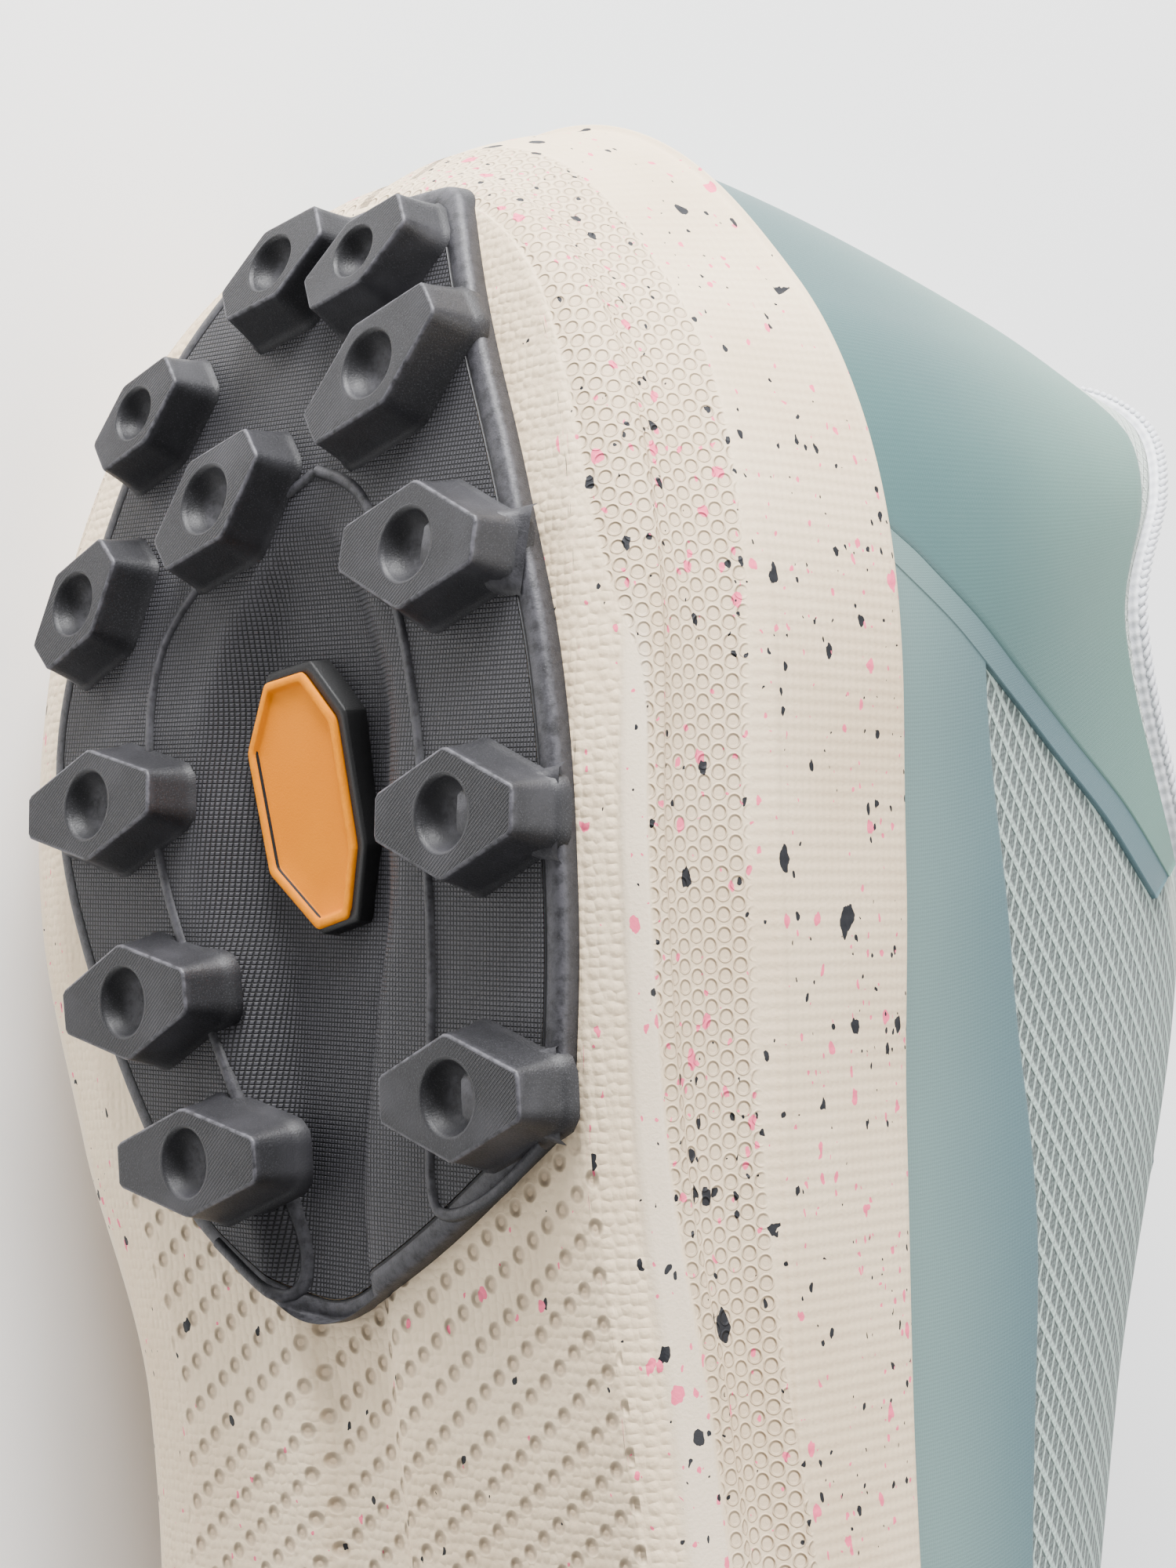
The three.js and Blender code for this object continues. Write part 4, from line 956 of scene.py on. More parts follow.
def ramp_net(reach):
    """A smooth buttress from a lug's face down to the rim of the pad, in the lug's frame."""
    rows = []
    for way in np.linspace(0.2, 1, 14):
        top = LUG_HEIGHT * (1 - 0.96 * ease(way, 0.5, 1.0)) - 0.15
        wide = RAMP_HALF * (0.8 + 0.35 * way)
        half = [(1.15, -0.8), (1.0, top * 0.35), (0.8, top * 0.85), (0.5, top)]
        profile = [*half, (0, top + 0.05), *((-s, z) for s, z in half[::-1])]
        rows.append([(s * wide, way * reach, z) for s, z in profile])
    net = np.array(rows)
    return net, [face[::-1] for face in net_faces(*net.shape[:2], False)], 0.3, 1.0


HEEL_LUGS = table(
    "x y turn length width ramp",
    (0.087, 0.080, -31, 0.74, 0.78, 0),
    (0.099, -0.248, -31, 0.72, 0.70, 0),
    (0.203, -0.376, -35, 0.97, 0.88, 0),
    (0.193, 0.536, -38, 0.68, 0.72, 0),
    (0.290, 0.188, -38, 0.84, 0.92, 0),
    (0.360, 0.690, -46, 0.74, 0.84, 0),
    (0.366, -0.588, 5, 0.98, 1.02, 0.28),
    (0.544, 0.574, -3, 1.05, 0.94, 0),
    (0.587, -0.750, 2, 0.96, 1.00, 0.25),
    (0.718, 0.436, -4, 1.04, 0.96, 0),
    (0.810, -0.733, 0, 0.97, 0.96, 0.23),
    (0.859, 0.217, -1, 1.12, 0.88, 0),
)

# %% The heel pad
MIDDLE_FIELD = [
    (31.0, -3.5), (33.0, -9.5), (37.0, -13.5), (49.0, -19.5), (64.0, -23.5), (79.0, -24.2), (92.0, -23.0),
    (104.0, -22.0), (105.5, -24.5), (103.5, -31.0), (98.5, -38.0),
]
FAR_FIELD = [
    (31.0, -3.5), (36.0, 8.0), (44.0, 18.0), (50.0, 20.5), (57.0, 20.6), (69.0, 18.0), (81.0, 13.0),
    (97.0, 5.0), (108.0, 0.5), (113.0, 0.5), (113.5, 3.0), (108.0, 11.0),
]

# %% [markdown]
# The badge's outline has eight corners. Its rings are set in from it with mitred corners, and a step
# of the pad's own rubber stands round it, painted black as shadow, which is seen along its outer side.

# %% The badge's outline and the step round it
BADGE_CORNERS = [(51.8, 3.8), (51.2, -2.2), (56.3, -7.0), (69.5, -9.3), (76.3, -7.8), (77.2, -2.9),
                 (71.2, 4.2), (58.7, 7.0)]  # counterclockwise as seen from above
BADGE_LIFT, BADGE_FRAME, BADGE_CORNER = 2.5, 1.1, 0.45


def badge_ring(depth, shift=(0.0, 0.0)):
    """The badge's outline set in by a depth, or out by a negative one, with its corners cut a little."""
    corners = np.array(BADGE_CORNERS)
    along = unit(np.roll(corners, -1, 0) - corners)
    ahead = np.stack([-along[:, 1], along[:, 0]], -1)
    before = np.roll(ahead, 1, 0)
    corners = corners + depth * (before + ahead) / (1 + np.sum(before * ahead, 1, keepdims=True)) + shift
    start, end = corners - np.roll(along, 1, 0) * BADGE_CORNER, corners + along * BADGE_CORNER
    cut = np.stack([start, (start + corners * 2 + end) / 4, end], 1).reshape(-1, 2)
    ways = np.arange(4)[None, :, None] / 4
    return (cut[:, None] * (1 - ways) + np.roll(cut, -1, 0)[:, None] * ways).reshape(-1, 2)


def badge_face():
    return float(face_z(np.array([64.0]), np.array([-3.0]), True)[0]) - BADGE_LIFT


def pocket_net():
    """The step that the badge stands on, painted black as shadow, seen along its outer side."""
    return stacked([(badge_ring(depth, (-0.3, -0.7)), badge_face() + lift, -1.0, 1.0) for depth, lift in (
        (-1.0, 4.0), (-0.75, 0.6), (-0.6, 0.35), (-0.35, 0.3), (0.45, 0.3), (0.65, 1.5), (2.2, 1.5))])


# %% The heel pad as one piece
class Stack:
    """Collects several nets into one piece."""

    def __init__(self):
        self.points, self.faces, self.edge, self.plain = [], [], [], []
        self.count = 0

    def add(self, points, faces, edge, plain):
        points = np.asarray(points).reshape(-1, 3)
        self.points.append(points)
        self.faces += [[i + self.count for i in face] for face in faces]
        self.edge.append(np.broadcast_to(edge, len(points)))
        self.plain.append(np.broadcast_to(plain, len(points)))
        self.count += len(points)

    def make(self, name, finish, nodes):
        values = {"edge": np.concatenate(self.edge), "plain": np.concatenate(self.plain)}
        return make_piece(name, np.concatenate(self.points), self.faces, finish, nodes, values)


def make_heel_pad():
    stack = Stack()
    stack.add(*pad_net(even(round_corners(HEEL_OUTLINE, 2.6), 420), True))
    for path in (MIDDLE_FIELD, FAR_FIELD):
        stack.add(*raised_line(even(soft_path(path), 160, False)))
    for x, y, turn, length, width, reach in zip(*HEEL_LUGS.values()):
        blocks = [lug_net(length * LUG_LENGTH, width * LUG_WIDTH)]
        if reach > 0:
            blocks.append(ramp_net(reach * PAD_HALF))
        for points, *rest in blocks:
            stack.add(place_on_pad(points, x * PAD_LENGTH, y * PAD_HALF, turn), *rest)
    stack.add(*pocket_net())
    return stack.make("heel_rubber", RUBBER_FINISH, ["outsole_heel"])


def soft_path(path):
    """Cuts the corners of an open path a few times, which makes it a smooth curve."""
    path = np.asarray(path, float)
    for _ in range(3):
        a, b = path[:-1], path[1:]
        cut = np.stack([a * 0.75 + b * 0.25, a * 0.25 + b * 0.75], 1).reshape(-1, 2)
        path = np.vstack([path[:1], cut, path[-1:]])
    return path


make_heel_pad()

# %% [markdown]
# ## The badge in the hollow
#
# A small orange plate lies in the hollow under the heel, with a raised frame round a plain field. Its
# corners are given, then rings go from the middle of the field, over the frame, and down the side.


# %% The badge
def make_badge():
    middle, face = badge_ring(0.0).mean(0), badge_face()
    # The frame's top is painted a lighter orange: partly wear, partly painted highlight.
    rings = [(badge_ring(depth), face + lift, wear_and_painted_light, 1.0) for depth, lift, wear_and_painted_light in (
        (0.0, 1.2, 0), (0.0, 0.35, 0), (0.08, 0.1, 0.6), (0.3, 0.0, 1), (0.8, 0.0, 0.8), (0.95, 0.08, 0.3),
        (BADGE_FRAME, 0.5, 0), (1.4, 0.6, 0))]
    field, low = rings[-1][:2]
    rings += [(middle + (field - middle) * way, low, 0.0, 1.0) for way in (0.75, 0.5, 0.25, 0.01)]
    net, faces, *rest = stacked(rings)
    stack = Stack()
    stack.add(net, faces + end_caps(len(rings), len(field)), *rest)
    return stack.make("orange_badge", BADGE_FINISH, ["badge"])


make_badge()

# %% [markdown]
# ## The forefoot pad
#
# The same skin and the same lugs go under the forefoot: pairs of lugs along both edges, shorter ones in
# the field between them, and one at the toe. Its rear edge has a shallow notch.


# %% The forefoot pad
FORE_START, FORE_NOTCH, FORE_PITCH, FORE_INSET = 138.0, 20.0, 27.0, 1.6
FORE_LUG = 0.85


def fore_outline():
    ring = inset(turns, tuck(turns) + FORE_INSET)[:, :2]
    near = ring[(turns < 0.5) & (ring[:, 0] > FORE_START + 1)]
    far = ring[(turns >= 0.5) & (ring[:, 0] > FORE_START + 1)]
    notch_edge = lambda y: FORE_START + FORE_NOTCH * (1 - abs(y) / HALF)
    corners = [(notch_edge(far[-1][1]), far[-1][1]), (FORE_START + FORE_NOTCH, 0.0),
               (notch_edge(near[0][1]), near[0][1])]
    near, far = near[near[:, 0] > corners[2][0] + 1], far[far[:, 0] > corners[0][0] + 1]
    return even(round_corners([*near[::4], *far[::4], *corners], 3.0), 520)


def fore_lugs():
    middle = lambda x: float(read(PLAN, "middle", x / LENGTH)) * HALF
    places = []
    for row in range(5):
        x = FORE_START + (row + 0.55) * FORE_PITCH
        between = x + FORE_PITCH / 2
        for name, side in (("outer", -1), ("inner", 1)):
            edge = lambda at: float(plan_half(np.array(at / LENGTH), name)
                                    - read(PLAN, "tuck_" + name, at / LENGTH) * TUCK) - FORE_INSET
            if edge(x) - 10 > 20:
                places.append((x, middle(x) + side * (edge(x) - 10), 5 * side, 0.92))
            places.append((between, middle(between) + side * 0.36 * edge(between), -12 * side, 0.75))
    last = LENGTH - 0.55 * FORE_PITCH
    return [*places, (last, middle(last), 0, 0.75)]


def make_fore_pad():
    stack = Stack()
    stack.add(*pad_net(fore_outline(), False, 2.2))
    for x, y, turn, length in fore_lugs():
        points, *rest = lug_net(length * LUG_LENGTH, FORE_LUG * LUG_WIDTH, around=60)
        stack.add(place_on_pad(points, x, y, turn), *rest)
    return stack.make("forefoot_rubber", RUBBER_FINISH, ["outsole_forefoot"])


make_fore_pad()

# %% [markdown]
# ## Cloth and film
#
# The upper is a woven mesh with a raised diamond net, the counter and the side band are thin smooth films
# fused onto it, and the collar has a white knitted binding. Each has its own weave, drawn by the node
# groups on coordinates that follow the cloth round the shoe, so the net bends with the surface.


# %% Cloth materials
def net_group():
    """Two families of cords that cross in slanted diamonds, with knots where they meet."""
    group, ins, outs = new_group("diamond_net", ["Pitch x", "Pitch y"], ["Cord", "Knot"])
    x, y, _ = split(group, ins["Place"])
    slanted = plus(group, x, times(group, y, 0.35))
    u, v = calc(group, "DIVIDE", slanted, ins["Pitch x"]), calc(group, "DIVIDE", y, ins["Pitch y"])
    ridges = []
    for way in ("ADD", "SUBTRACT"):
        across = calc(group, "ABSOLUTE", minus(group, calc(group, "FRACT", calc(group, way, u, v)), 0.5))
        ridges.append(ramp(group, across, 0.10, 0.22, 1.0, 0.0))
    group.links.new(calc(group, "MAXIMUM", *ridges), outs["Cord"])
    group.links.new(times(group, *ridges), outs["Knot"])
    return group


NET = net_group()


def mesh_finish():
    finish, tree, shader = new_finish("diamond_mesh", Roughness=0.85, Sheen_Weight=0.25)
    cloth, pale = attribute(tree, "cloth", True), attribute(tree, "pale")
    net = use_group(tree, NET, cloth, 3.6, 2.2)
    fine = use_group(tree, WEAVE, cloth, 0.55, 0.4)["Height"]
    fibre = noise(tree, vector_calc(tree, "MULTIPLY", cloth, (1.0, 2.0, 1.0)), 3.0, 3.0, 0.6)
    cell = blend(tree, fine, srgb(50, 62, 60), srgb(92, 106, 103))
    cord = blend(tree, fibre, srgb(140, 162, 154), srgb(186, 204, 196))
    color = blend(tree, net["Cord"], cell, cord)
    color = blend(tree, times(tree, pale, 0.8), color, srgb(206, 216, 206))
    relief = plus(tree, times(tree, net["Cord"], 0.38), times(tree, net["Knot"], 0.10))
    height = plus(tree, relief, plus(tree, times(tree, fine, 0.06), times(tree, fibre, 0.08)))
    connect(tree, shader, color, None, height)
    return finish


def film_finish(name, low, high, z_low, z_high):
    """A smooth film whose colour drifts from low to high up the shoe, a little cloudy."""
    finish, tree, shader = new_finish(name, Roughness=0.45)
    standing = attribute(tree, "standing", True)
    drift = times(tree, minus(tree, noise(tree, standing, 0.05, 2.0), 0.5), 0.3)
    way = plus(tree, ramp(tree, split(tree, standing)[2], z_low, z_high), drift)
    grain = noise(tree, standing, 6.0, 3.0, 0.7)
    fine = use_group(tree, WEAVE, attribute(tree, "cloth", True), 0.4, 0.3)["Height"]
    height = plus(tree, times(tree, grain, 0.02), times(tree, fine, 0.012))
    connect(tree, shader, blend(tree, way, low, high), ramp(tree, grain, 0.2, 0.8, 0.4, 0.52), height)
    return finish


def knit_finish(name, base, shade, pitch_x, pitch_y, deep=0.15):
    finish, tree, shader = new_finish(name, Roughness=0.9, Sheen_Weight=0.3)
    cloth = attribute(tree, "cloth", True)
    weave = use_group(tree, WEAVE, cloth, pitch_x, pitch_y)["Height"]
    height = plus(tree, times(tree, weave, deep), times(tree, noise(tree, cloth, 4.0, 3.0, 0.6), 0.05))
    connect(tree, shader, blend(tree, weave, shade, base), None, height)
    return finish


MESH = mesh_finish()
COUNTER_FILM = film_finish("counter_film", srgb(70, 100, 100), srgb(98, 130, 120), 55.0, 112.0)
SIDE_FILM = film_finish("side_film", srgb(106, 130, 128), srgb(82, 108, 114), 50.0, 74.0)
BINDING = knit_finish("white_knit", srgb(236, 237, 240), srgb(196, 198, 205), 1.5, 1.1, 0.25)
LINING = knit_finish("soft_lining", srgb(214, 222, 216), srgb(178, 188, 182), 1.2, 0.9)
LACE = knit_finish("flat_lace", srgb(232, 233, 236), srgb(186, 190, 196), 1.1, 0.8, 0.2)
FOOTBED = knit_finish("footbed_cloth", srgb(186, 196, 191), srgb(150, 160, 156), 1.0, 1.0)
print("cloth:", [m.name for m in (MESH, COUNTER_FILM, SIDE_FILM, BINDING, LINING, LACE, FOOTBED)])

# %% [markdown]
# ## The upper
#
# The upper stands on the rim of the midsole and closes to the collar and the throat. Each section is one
# curve with two handles, given in the table. Its outer face is the mesh; inside is a soft lining, thick and
# padded towards the collar, which is the second, padded piece.


# %% The upper's surface
def section(turn):
    """The four control points of the upper's curve at each turn."""
    t, out = half_turn(turn), plan_normal(turn)
    side = np.where(np.mod(turn, 1) <= 0.5, -1.0, 1.0)
    start = inset(turn, pulled_in(turn, RIM_LINE) + LIP + FIT)
    start[..., 2] = rim_z(turn)
    end = np.stack([read(TOP, "x", t) * LENGTH, (read(TOP, "middle", t) + side * read(TOP, "y", t)) * HALF,
                    read(TOP, "z", t) * COLLAR_HEIGHT], -1)
    height = end[..., 2] - start[..., 2]
    lean = np.where(side > 0, INNER_LEAN * ease(t, 0.12, 0.26) * (1 - ease(t, 0.6, 0.9)), 0)
    first = start + out * (read(TOP, "out1", t) * HALF - lean)[..., None]
    first[..., 2] += read(TOP, "rise1", t) * height
    way = read(TOP, "way2", t)[..., None]
    second = start * (1 - way) + end * way + out * (read(TOP, "out2", t) * HALF - lean)[..., None]
    second[..., 2] = start[..., 2] + read(TOP, "rise2", t) * height
    return start, first, second, end


def bezier(a, b, c, d, way):
    way = np.asarray(way)[..., None]
    return (1 - way) ** 3 * a + 3 * way * (1 - way) ** 2 * b + 3 * way * way * (1 - way) * c + way**3 * d


def skin(turn, v):
    """The upper's outer face: v goes from 0 at the rim to 1 at the collar."""
    return bezier(*section(turn), v)


def off_skin(turn, v, lift):
    """A point off the upper's outer face; a negative lift lies inside."""
    turn, v = np.broadcast_arrays(np.asarray(turn, float), np.asarray(v, float))
    along = skin(turn + 0.003, v) - skin(turn - 0.003, v)
    up = skin(turn, np.minimum(v + 0.003, 1)) - skin(turn, np.maximum(v - 0.003, 0))
    return skin(turn, v) + unit(np.cross(along, up)) * np.asarray(lift)[..., None]


def thickness(turn, v):
    return WALL + PADDING * ease(v, 0.45, 0.8) * (1 - ease(half_turn(turn), 0.36, 0.44))


def cloth_place(net):
    """Coordinates that follow a net of points: millimetres round the shoe, and up it."""
    climb = np.concatenate([np.zeros((1, net.shape[1])), np.cumsum(np.linalg.norm(np.diff(net, axis=0), axis=2), 0)])
    steps = np.linalg.norm(np.diff(net[net.shape[0] // 2], axis=0, append=net[net.shape[0] // 2][:1]), axis=1)
    way = np.concatenate([[0], np.cumsum(steps)[:-1]])
    return np.stack([np.broadcast_to(way, climb.shape), climb, np.zeros_like(climb)], -1)


def shelf_ring(depth, lift):
    ring = inset(turns, pulled_in(turns, RIM_LINE) + LIP + depth)
    ring[:, 2] = shelf_z(ring[:, 0]) + lift
    return ring


PALE_EDGE = table("t low", (0.0, 0.52), (0.07, 0.57), (0.13, 0.72), (0.18, 0.88), (0.3, 0.93), (0.5, 0.95))


def make_upper():
    turn, v = np.meshgrid(turns, np.concatenate([np.linspace(0, 0.9, 46), np.linspace(0.92, 1, 5)]))
    top_middle = off_skin(turns, np.ones(len(turns)), -thickness(turns, 1.0) * 0.5)[None]
    net = np.concatenate([shelf_ring(FIT, FIT)[None], skin(turn, v), top_middle])
    pale_from = read(PALE_EDGE, "low", half_turn(turn))
    pale = ease(v, pale_from - 0.03, pale_from + 0.02) * (1 - ease(half_turn(turn), 0.40, 0.5))
    pale = np.concatenate([np.zeros((1, len(turns))), pale, np.ones((1, len(turns)))])
    make_piece("upper_mesh", net.reshape(-1, 3), net_faces(*net.shape[:2]), MESH, ["upper"],
               {"cloth": cloth_place(net).reshape(-1, 3), "pale": pale.ravel()})
    turn, v = np.meshgrid(turns, np.linspace(1, 0, 34))
    inner = off_skin(turn, v, -thickness(turn, v))
    net = np.concatenate([top_middle, inner, shelf_ring(FIT + WALL, FIT)[None], shelf_ring(FIT, FIT)[None]])
    lining = make_piece("collar_lining", net.reshape(-1, 3), net_faces(*net.shape[:2]), LINING, ["upper"],
                        {"cloth": cloth_place(net).reshape(-1, 3)})


make_upper()

# %% [markdown]
# ## Films fused onto the upper
#
# The films are less than a millimetre thick and follow the upper exactly, so each is swept from the upper's
# own surface: a thin closed section between a lower and an upper edge, at many turns. Their edges are
# drawn by small tables.


# %% Films
COUNTER_EDGE = table("t low high", (0.00, -0.02, 0.55), (0.07, -0.02, 0.60), (0.13, -0.02, 0.75), (0.18, -0.02, 0.92),
                     (0.225, -0.02, 0.95), (0.245, 0.10, 0.96), (0.27, 0.30, 0.96), (0.31, 0.60, 0.965),
                     (0.345, 0.80, 0.97), (0.38, 0.93, 0.975))
RAND_EDGE = table("t high", (0.20, 0.26), (0.27, 0.30), (0.36, 0.33), (0.50, 0.27), (0.68, 0.24), (0.80, 0.27),
                  (0.90, 0.38), (1.00, 0.46))


def section_place(sections):
    """The cloth's coordinates for a tube given as sections along a path."""
    return cloth_place(sections.transpose(1, 0, 2)).transpose(1, 0, 2).reshape(-1, 3)


def swept(name, sections, finish, nodes, flip=False):
    """A closed piece from closed sections along a path, with both ends shut."""
    sections = np.asarray(sections)
    rows, count = sections.shape[:2]
    faces = net_faces(rows, count)
    if flip:
        faces = [face[::-1] for face in faces]
    return make_piece(name, sections.reshape(-1, 3), faces + end_caps(rows, count), finish, nodes,
                      {"cloth": section_place(sections)})


def film_piece(name, turn_list, low, high, lift, finish, nodes, rows=30):
    """A thin closed film between two edges of the upper's face, each with a value for every turn."""
    ways = np.concatenate([[0, 0.004, 0.012, 0.025], np.linspace(0.05, 0.95, rows), [0.975, 0.988, 0.996, 1]])
    proud = lift * np.concatenate([[-0.2, 0.35, 0.8, 1], np.ones(rows), [1, 0.8, 0.35, -0.2]])
    turn, way = np.meshgrid(turn_list, ways)
    v = np.clip(low + (high - low) * way, 0, 1)
    top = off_skin(turn, v, np.broadcast_to(proud[:, None], turn.shape))
    bottom = off_skin(turn, v, np.full(turn.shape, -0.4))[::-1]
    return swept(name, np.concatenate([top, bottom]).transpose(1, 0, 2), finish, nodes, flip=True)


def make_films():
    heel, band = np.linspace(-0.19, 0.19, 260), np.linspace(0.10, 0.90, 420)
    edge, throat = np.linspace(0.108, 0.19, 80), np.linspace(0.23, 0.77, 300)
    film_piece("heel_counter_film", heel, read(COUNTER_EDGE, "low", half_turn(heel)),
               read(COUNTER_EDGE, "high", half_turn(heel)), 0.75, COUNTER_FILM, ["heel_counter"])
    film_piece("side_band_film", band, 0.0, read(RAND_EDGE, "high", half_turn(band)), 0.5, SIDE_FILM,
               ["rand"])
    counter_low = read(COUNTER_EDGE, "low", half_turn(edge))
    film_piece("counter_edge_strip", edge, np.clip(counter_low - 0.075, 0, 1),
               np.clip(counter_low + 0.02, 0.02, 1), 0.6, SIDE_FILM, [], rows=8)
    film_piece("throat_film", throat, 0.84 + 0.04 * ease(half_turn(throat), 0.7, 1), 0.992, 0.55, SIDE_FILM,
               ["eyestay"], rows=10)


make_films()

# %% [markdown]
# ## Collar binding, tongue, laces and footbed
#
# The binding is a knitted roll along the collar's edge: a tube swept along it, with stitches laid round it by
# Geometry Nodes. The tongue is a padded strip under the throat, the laces are flat bands from eyelet to
# eyelet, and the footbed is a soft plate in the shoe.


# %% The binding roll
BINDING_RADIUS, BINDING_OVERHANG = 1.7, 1.1


def binding_frame(turn):
    """Middle, across and up directions of the roll at each turn."""
    edge, thick = skin(turn, np.ones_like(turn)), thickness(turn, 1.0)
    inner = off_skin(turn, np.ones_like(turn), -thick)
    up = unit(edge - skin(turn, np.full_like(turn, 0.97)))
    across = unit(edge - inner) * (thick / 2 + BINDING_OVERHANG)[:, None]
    return (edge + inner) / 2 + up * (BINDING_RADIUS + 0.35), across, up


def make_binding():
    turn = np.linspace(-0.212, 0.212, 420)
    middle, across, up = binding_frame(turn)
    angle = -np.arange(28) / 28 * math.tau
    sections = (middle[:, None] + across[:, None] * np.cos(angle)[None, :, None]
                + up[:, None] * BINDING_RADIUS * np.sin(angle)[None, :, None])
    return swept("collar_roll", sections, BINDING, ["collar_binding"])


make_binding()

# %% [markdown]
# The knit of the roll is a repeated thing on a path, so Geometry Nodes make it: a curve that follows the
# roll's outer side is resampled at even steps, a small rounded stitch is put on each point and turned
# along the curve, and the tree ends in real geometry with its material.


# %% Stitches on the roll
def stitch_tree():
    tree = bpy.data.node_groups.new("stitches_on_a_path", "GeometryNodeTree")
    for label, kind, way in (("Path", "Geometry", "INPUT"), ("Step", "Float", "INPUT"), ("Length", "Float", "INPUT"),
                             ("Width", "Float", "INPUT"), ("Slant", "Float", "INPUT"), ("Finish", "Material", "INPUT"),
                             ("Stitches", "Geometry", "OUTPUT")):
        tree.interface.new_socket(label, in_out=way, socket_type="NodeSocket" + kind)
    ins = put(tree, "NodeGroupInput").outputs
    curve = put(tree, "GeometryNodeMeshToCurve", {"Mesh": ins["Path"]}).outputs["Curve"]
    even_path = put(tree, "GeometryNodeResampleCurve", {"Curve": curve, "Length": ins["Step"]}, mode="LENGTH")
    bead = put(tree, "GeometryNodeMeshUVSphere", {"Segments": 8, "Rings": 6, "Radius": 0.5})
    size = put(tree, "ShaderNodeCombineXYZ", {0: ins["Width"], 1: ins["Width"], 2: ins["Length"]})
    stitch = put(tree, "GeometryNodeTransform", {"Geometry": bead.outputs["Mesh"], "Scale": size.outputs[0]})
    tangent = put(tree, "GeometryNodeInputTangent")
    along = put(tree, "FunctionNodeAlignRotationToVector", {"Vector": tangent.outputs[0]}, axis="Z")
    slant = put(tree, "ShaderNodeCombineXYZ", {0: ins["Slant"]})
    turned = put(tree, "FunctionNodeRotateRotation", {"Rotation": along.outputs[0], "Rotate By": slant.outputs[0]},
                 rotation_space="LOCAL")
    spread = put(tree, "GeometryNodeInstanceOnPoints", {"Points": even_path.outputs[0],
                 "Instance": stitch.outputs[0], "Rotation": turned.outputs[0]})
    real = put(tree, "GeometryNodeRealizeInstances", {"Geometry": spread.outputs[0]})
    smooth = put(tree, "GeometryNodeSetShadeSmooth", {"Geometry": real.outputs[0]})
    done = put(tree, "GeometryNodeSetMaterial", {"Geometry": smooth.outputs[0], "Material": ins["Finish"]})
    put(tree, "NodeGroupOutput", {"Stitches": done.outputs[0]})
    return tree


STITCHES = stitch_tree()


def stitch_rows(name, paths, step, length, width, slant, finish):
    """Rows of stitches along open paths of the standing shoe, as one plain mesh."""
    points = np.concatenate(paths)
    starts = np.cumsum([0] + [len(path) for path in paths])[:-1]
    edges = [(start + i, start + i + 1) for start, path in zip(starts, paths) for i in range(len(path) - 1)]
    line = bpy.data.meshes.new(name + "_path")
    line.from_pydata(lay(points).tolist(), edges, [])
    holder = add_object(name + "_path", line)
    nodes = holder.modifiers.new("stitches", "NODES")
    nodes.node_group = STITCHES
    sizes = {"Step": step / 1000, "Length": length / 1000, "Width": width / 1000, "Slant": slant, "Finish": finish}
    for item in STITCHES.interface.items_tree:
        if item.in_out == "INPUT" and item.name in sizes:
            nodes[item.identifier] = sizes[item.name]
    mesh = bpy.data.meshes.new_from_object(holder.evaluated_get(bpy.context.evaluated_depsgraph_get()))
    bpy.data.objects.remove(holder)
    mesh.name = name
    piece = add_object(name, mesh)
    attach(piece, "root")
    print(f"{name}: {len(mesh.polygons)} faces in stitches")
    return piece


def binding_stitches():
    turn = np.linspace(-0.21, 0.21, 500)
    middle, across, up = binding_frame(turn)
    paths = []
    for angle in (-12, 14, 40, 66, 92, 118, 144, 168):
        a = math.radians(angle)
        paths.append(middle + across * math.cos(a) * 1.01 + up * BINDING_RADIUS * math.sin(a) * 1.01)
    return stitch_rows("collar_knit", paths, 1.15, 1.5, 0.72, 0.5, BINDING)


binding_stitches()

# %% The tongue
TONGUE, TONGUE_RISE = 3.2, 17.0


def tongue_row(t, depth, fine=13):
    """One row across the tongue, under both edges of the throat and crowned between them."""
    v = np.array([0.86, 0.93, 1.0])

    def edge(turn):
        turn = np.full(3, turn)
        return off_skin(turn, v, -thickness(turn, v) - 0.7 - depth)

    outer, inner = edge(t / 2), edge(1 - t / 2)[::-1]
    a, b = outer[2], inner[0]
    reach = np.linalg.norm(b - a) * 0.36
    first = a + unit(a - outer[1]) * reach
    second = b + unit(b - inner[1]) * reach
    return np.concatenate([outer, bezier(a, first, second, b, np.linspace(0, 1, fine)[1:-1]), inner])


def opened_out(row):
    """The same row with its hidden edges laid out flat beside its crown."""
    row = row.copy()
    for tip, step in ((2, -1), (14, 1), (19, -1), (31, 1)):
        along = unit(row[tip] - row[tip - step])
        for k in (1, 2):
            row[tip + k * step] = row[tip] + along * 1.2 * k
    return row


def make_tongue():
    sections = []
    for t in np.linspace(0.985, 0.46, 44):
        puff = 0.35 * abs(math.sin(t * 60))
        sections.append(np.concatenate([tongue_row(t, 0.35 - puff), tongue_row(t, TONGUE)[::-1]]))
    top = sections[-1]
    for way in np.linspace(0.06, 1, 16):
        narrow = 1 - 0.24 * way**1.4
        open_way = float(ease(way, 0.0, 0.45))
        row = top * (1 - open_way) + opened_out(top) * open_way
        row = row * np.array([1, narrow, 1]) + np.array([-0.62, 0, 0.78]) * TONGUE_RISE * way
        middle = row.mean(0)
        round_off = math.sqrt(max(1 - max(way - 0.8, 0) ** 2 / 0.2**2, 0.08))
        sections.append(middle + (row - middle) * (0.3 + 0.7 * round_off))
    piece = swept("tongue_pad", sections, LINING, ["tongue"])
    return piece


make_tongue()

# %% [markdown]
# The laces go over the tongue from one side to the other. Each crossing is a thin flat band with rounded
# edges, and its ends are hidden at the eyelets, which are small rings in the film along the throat.


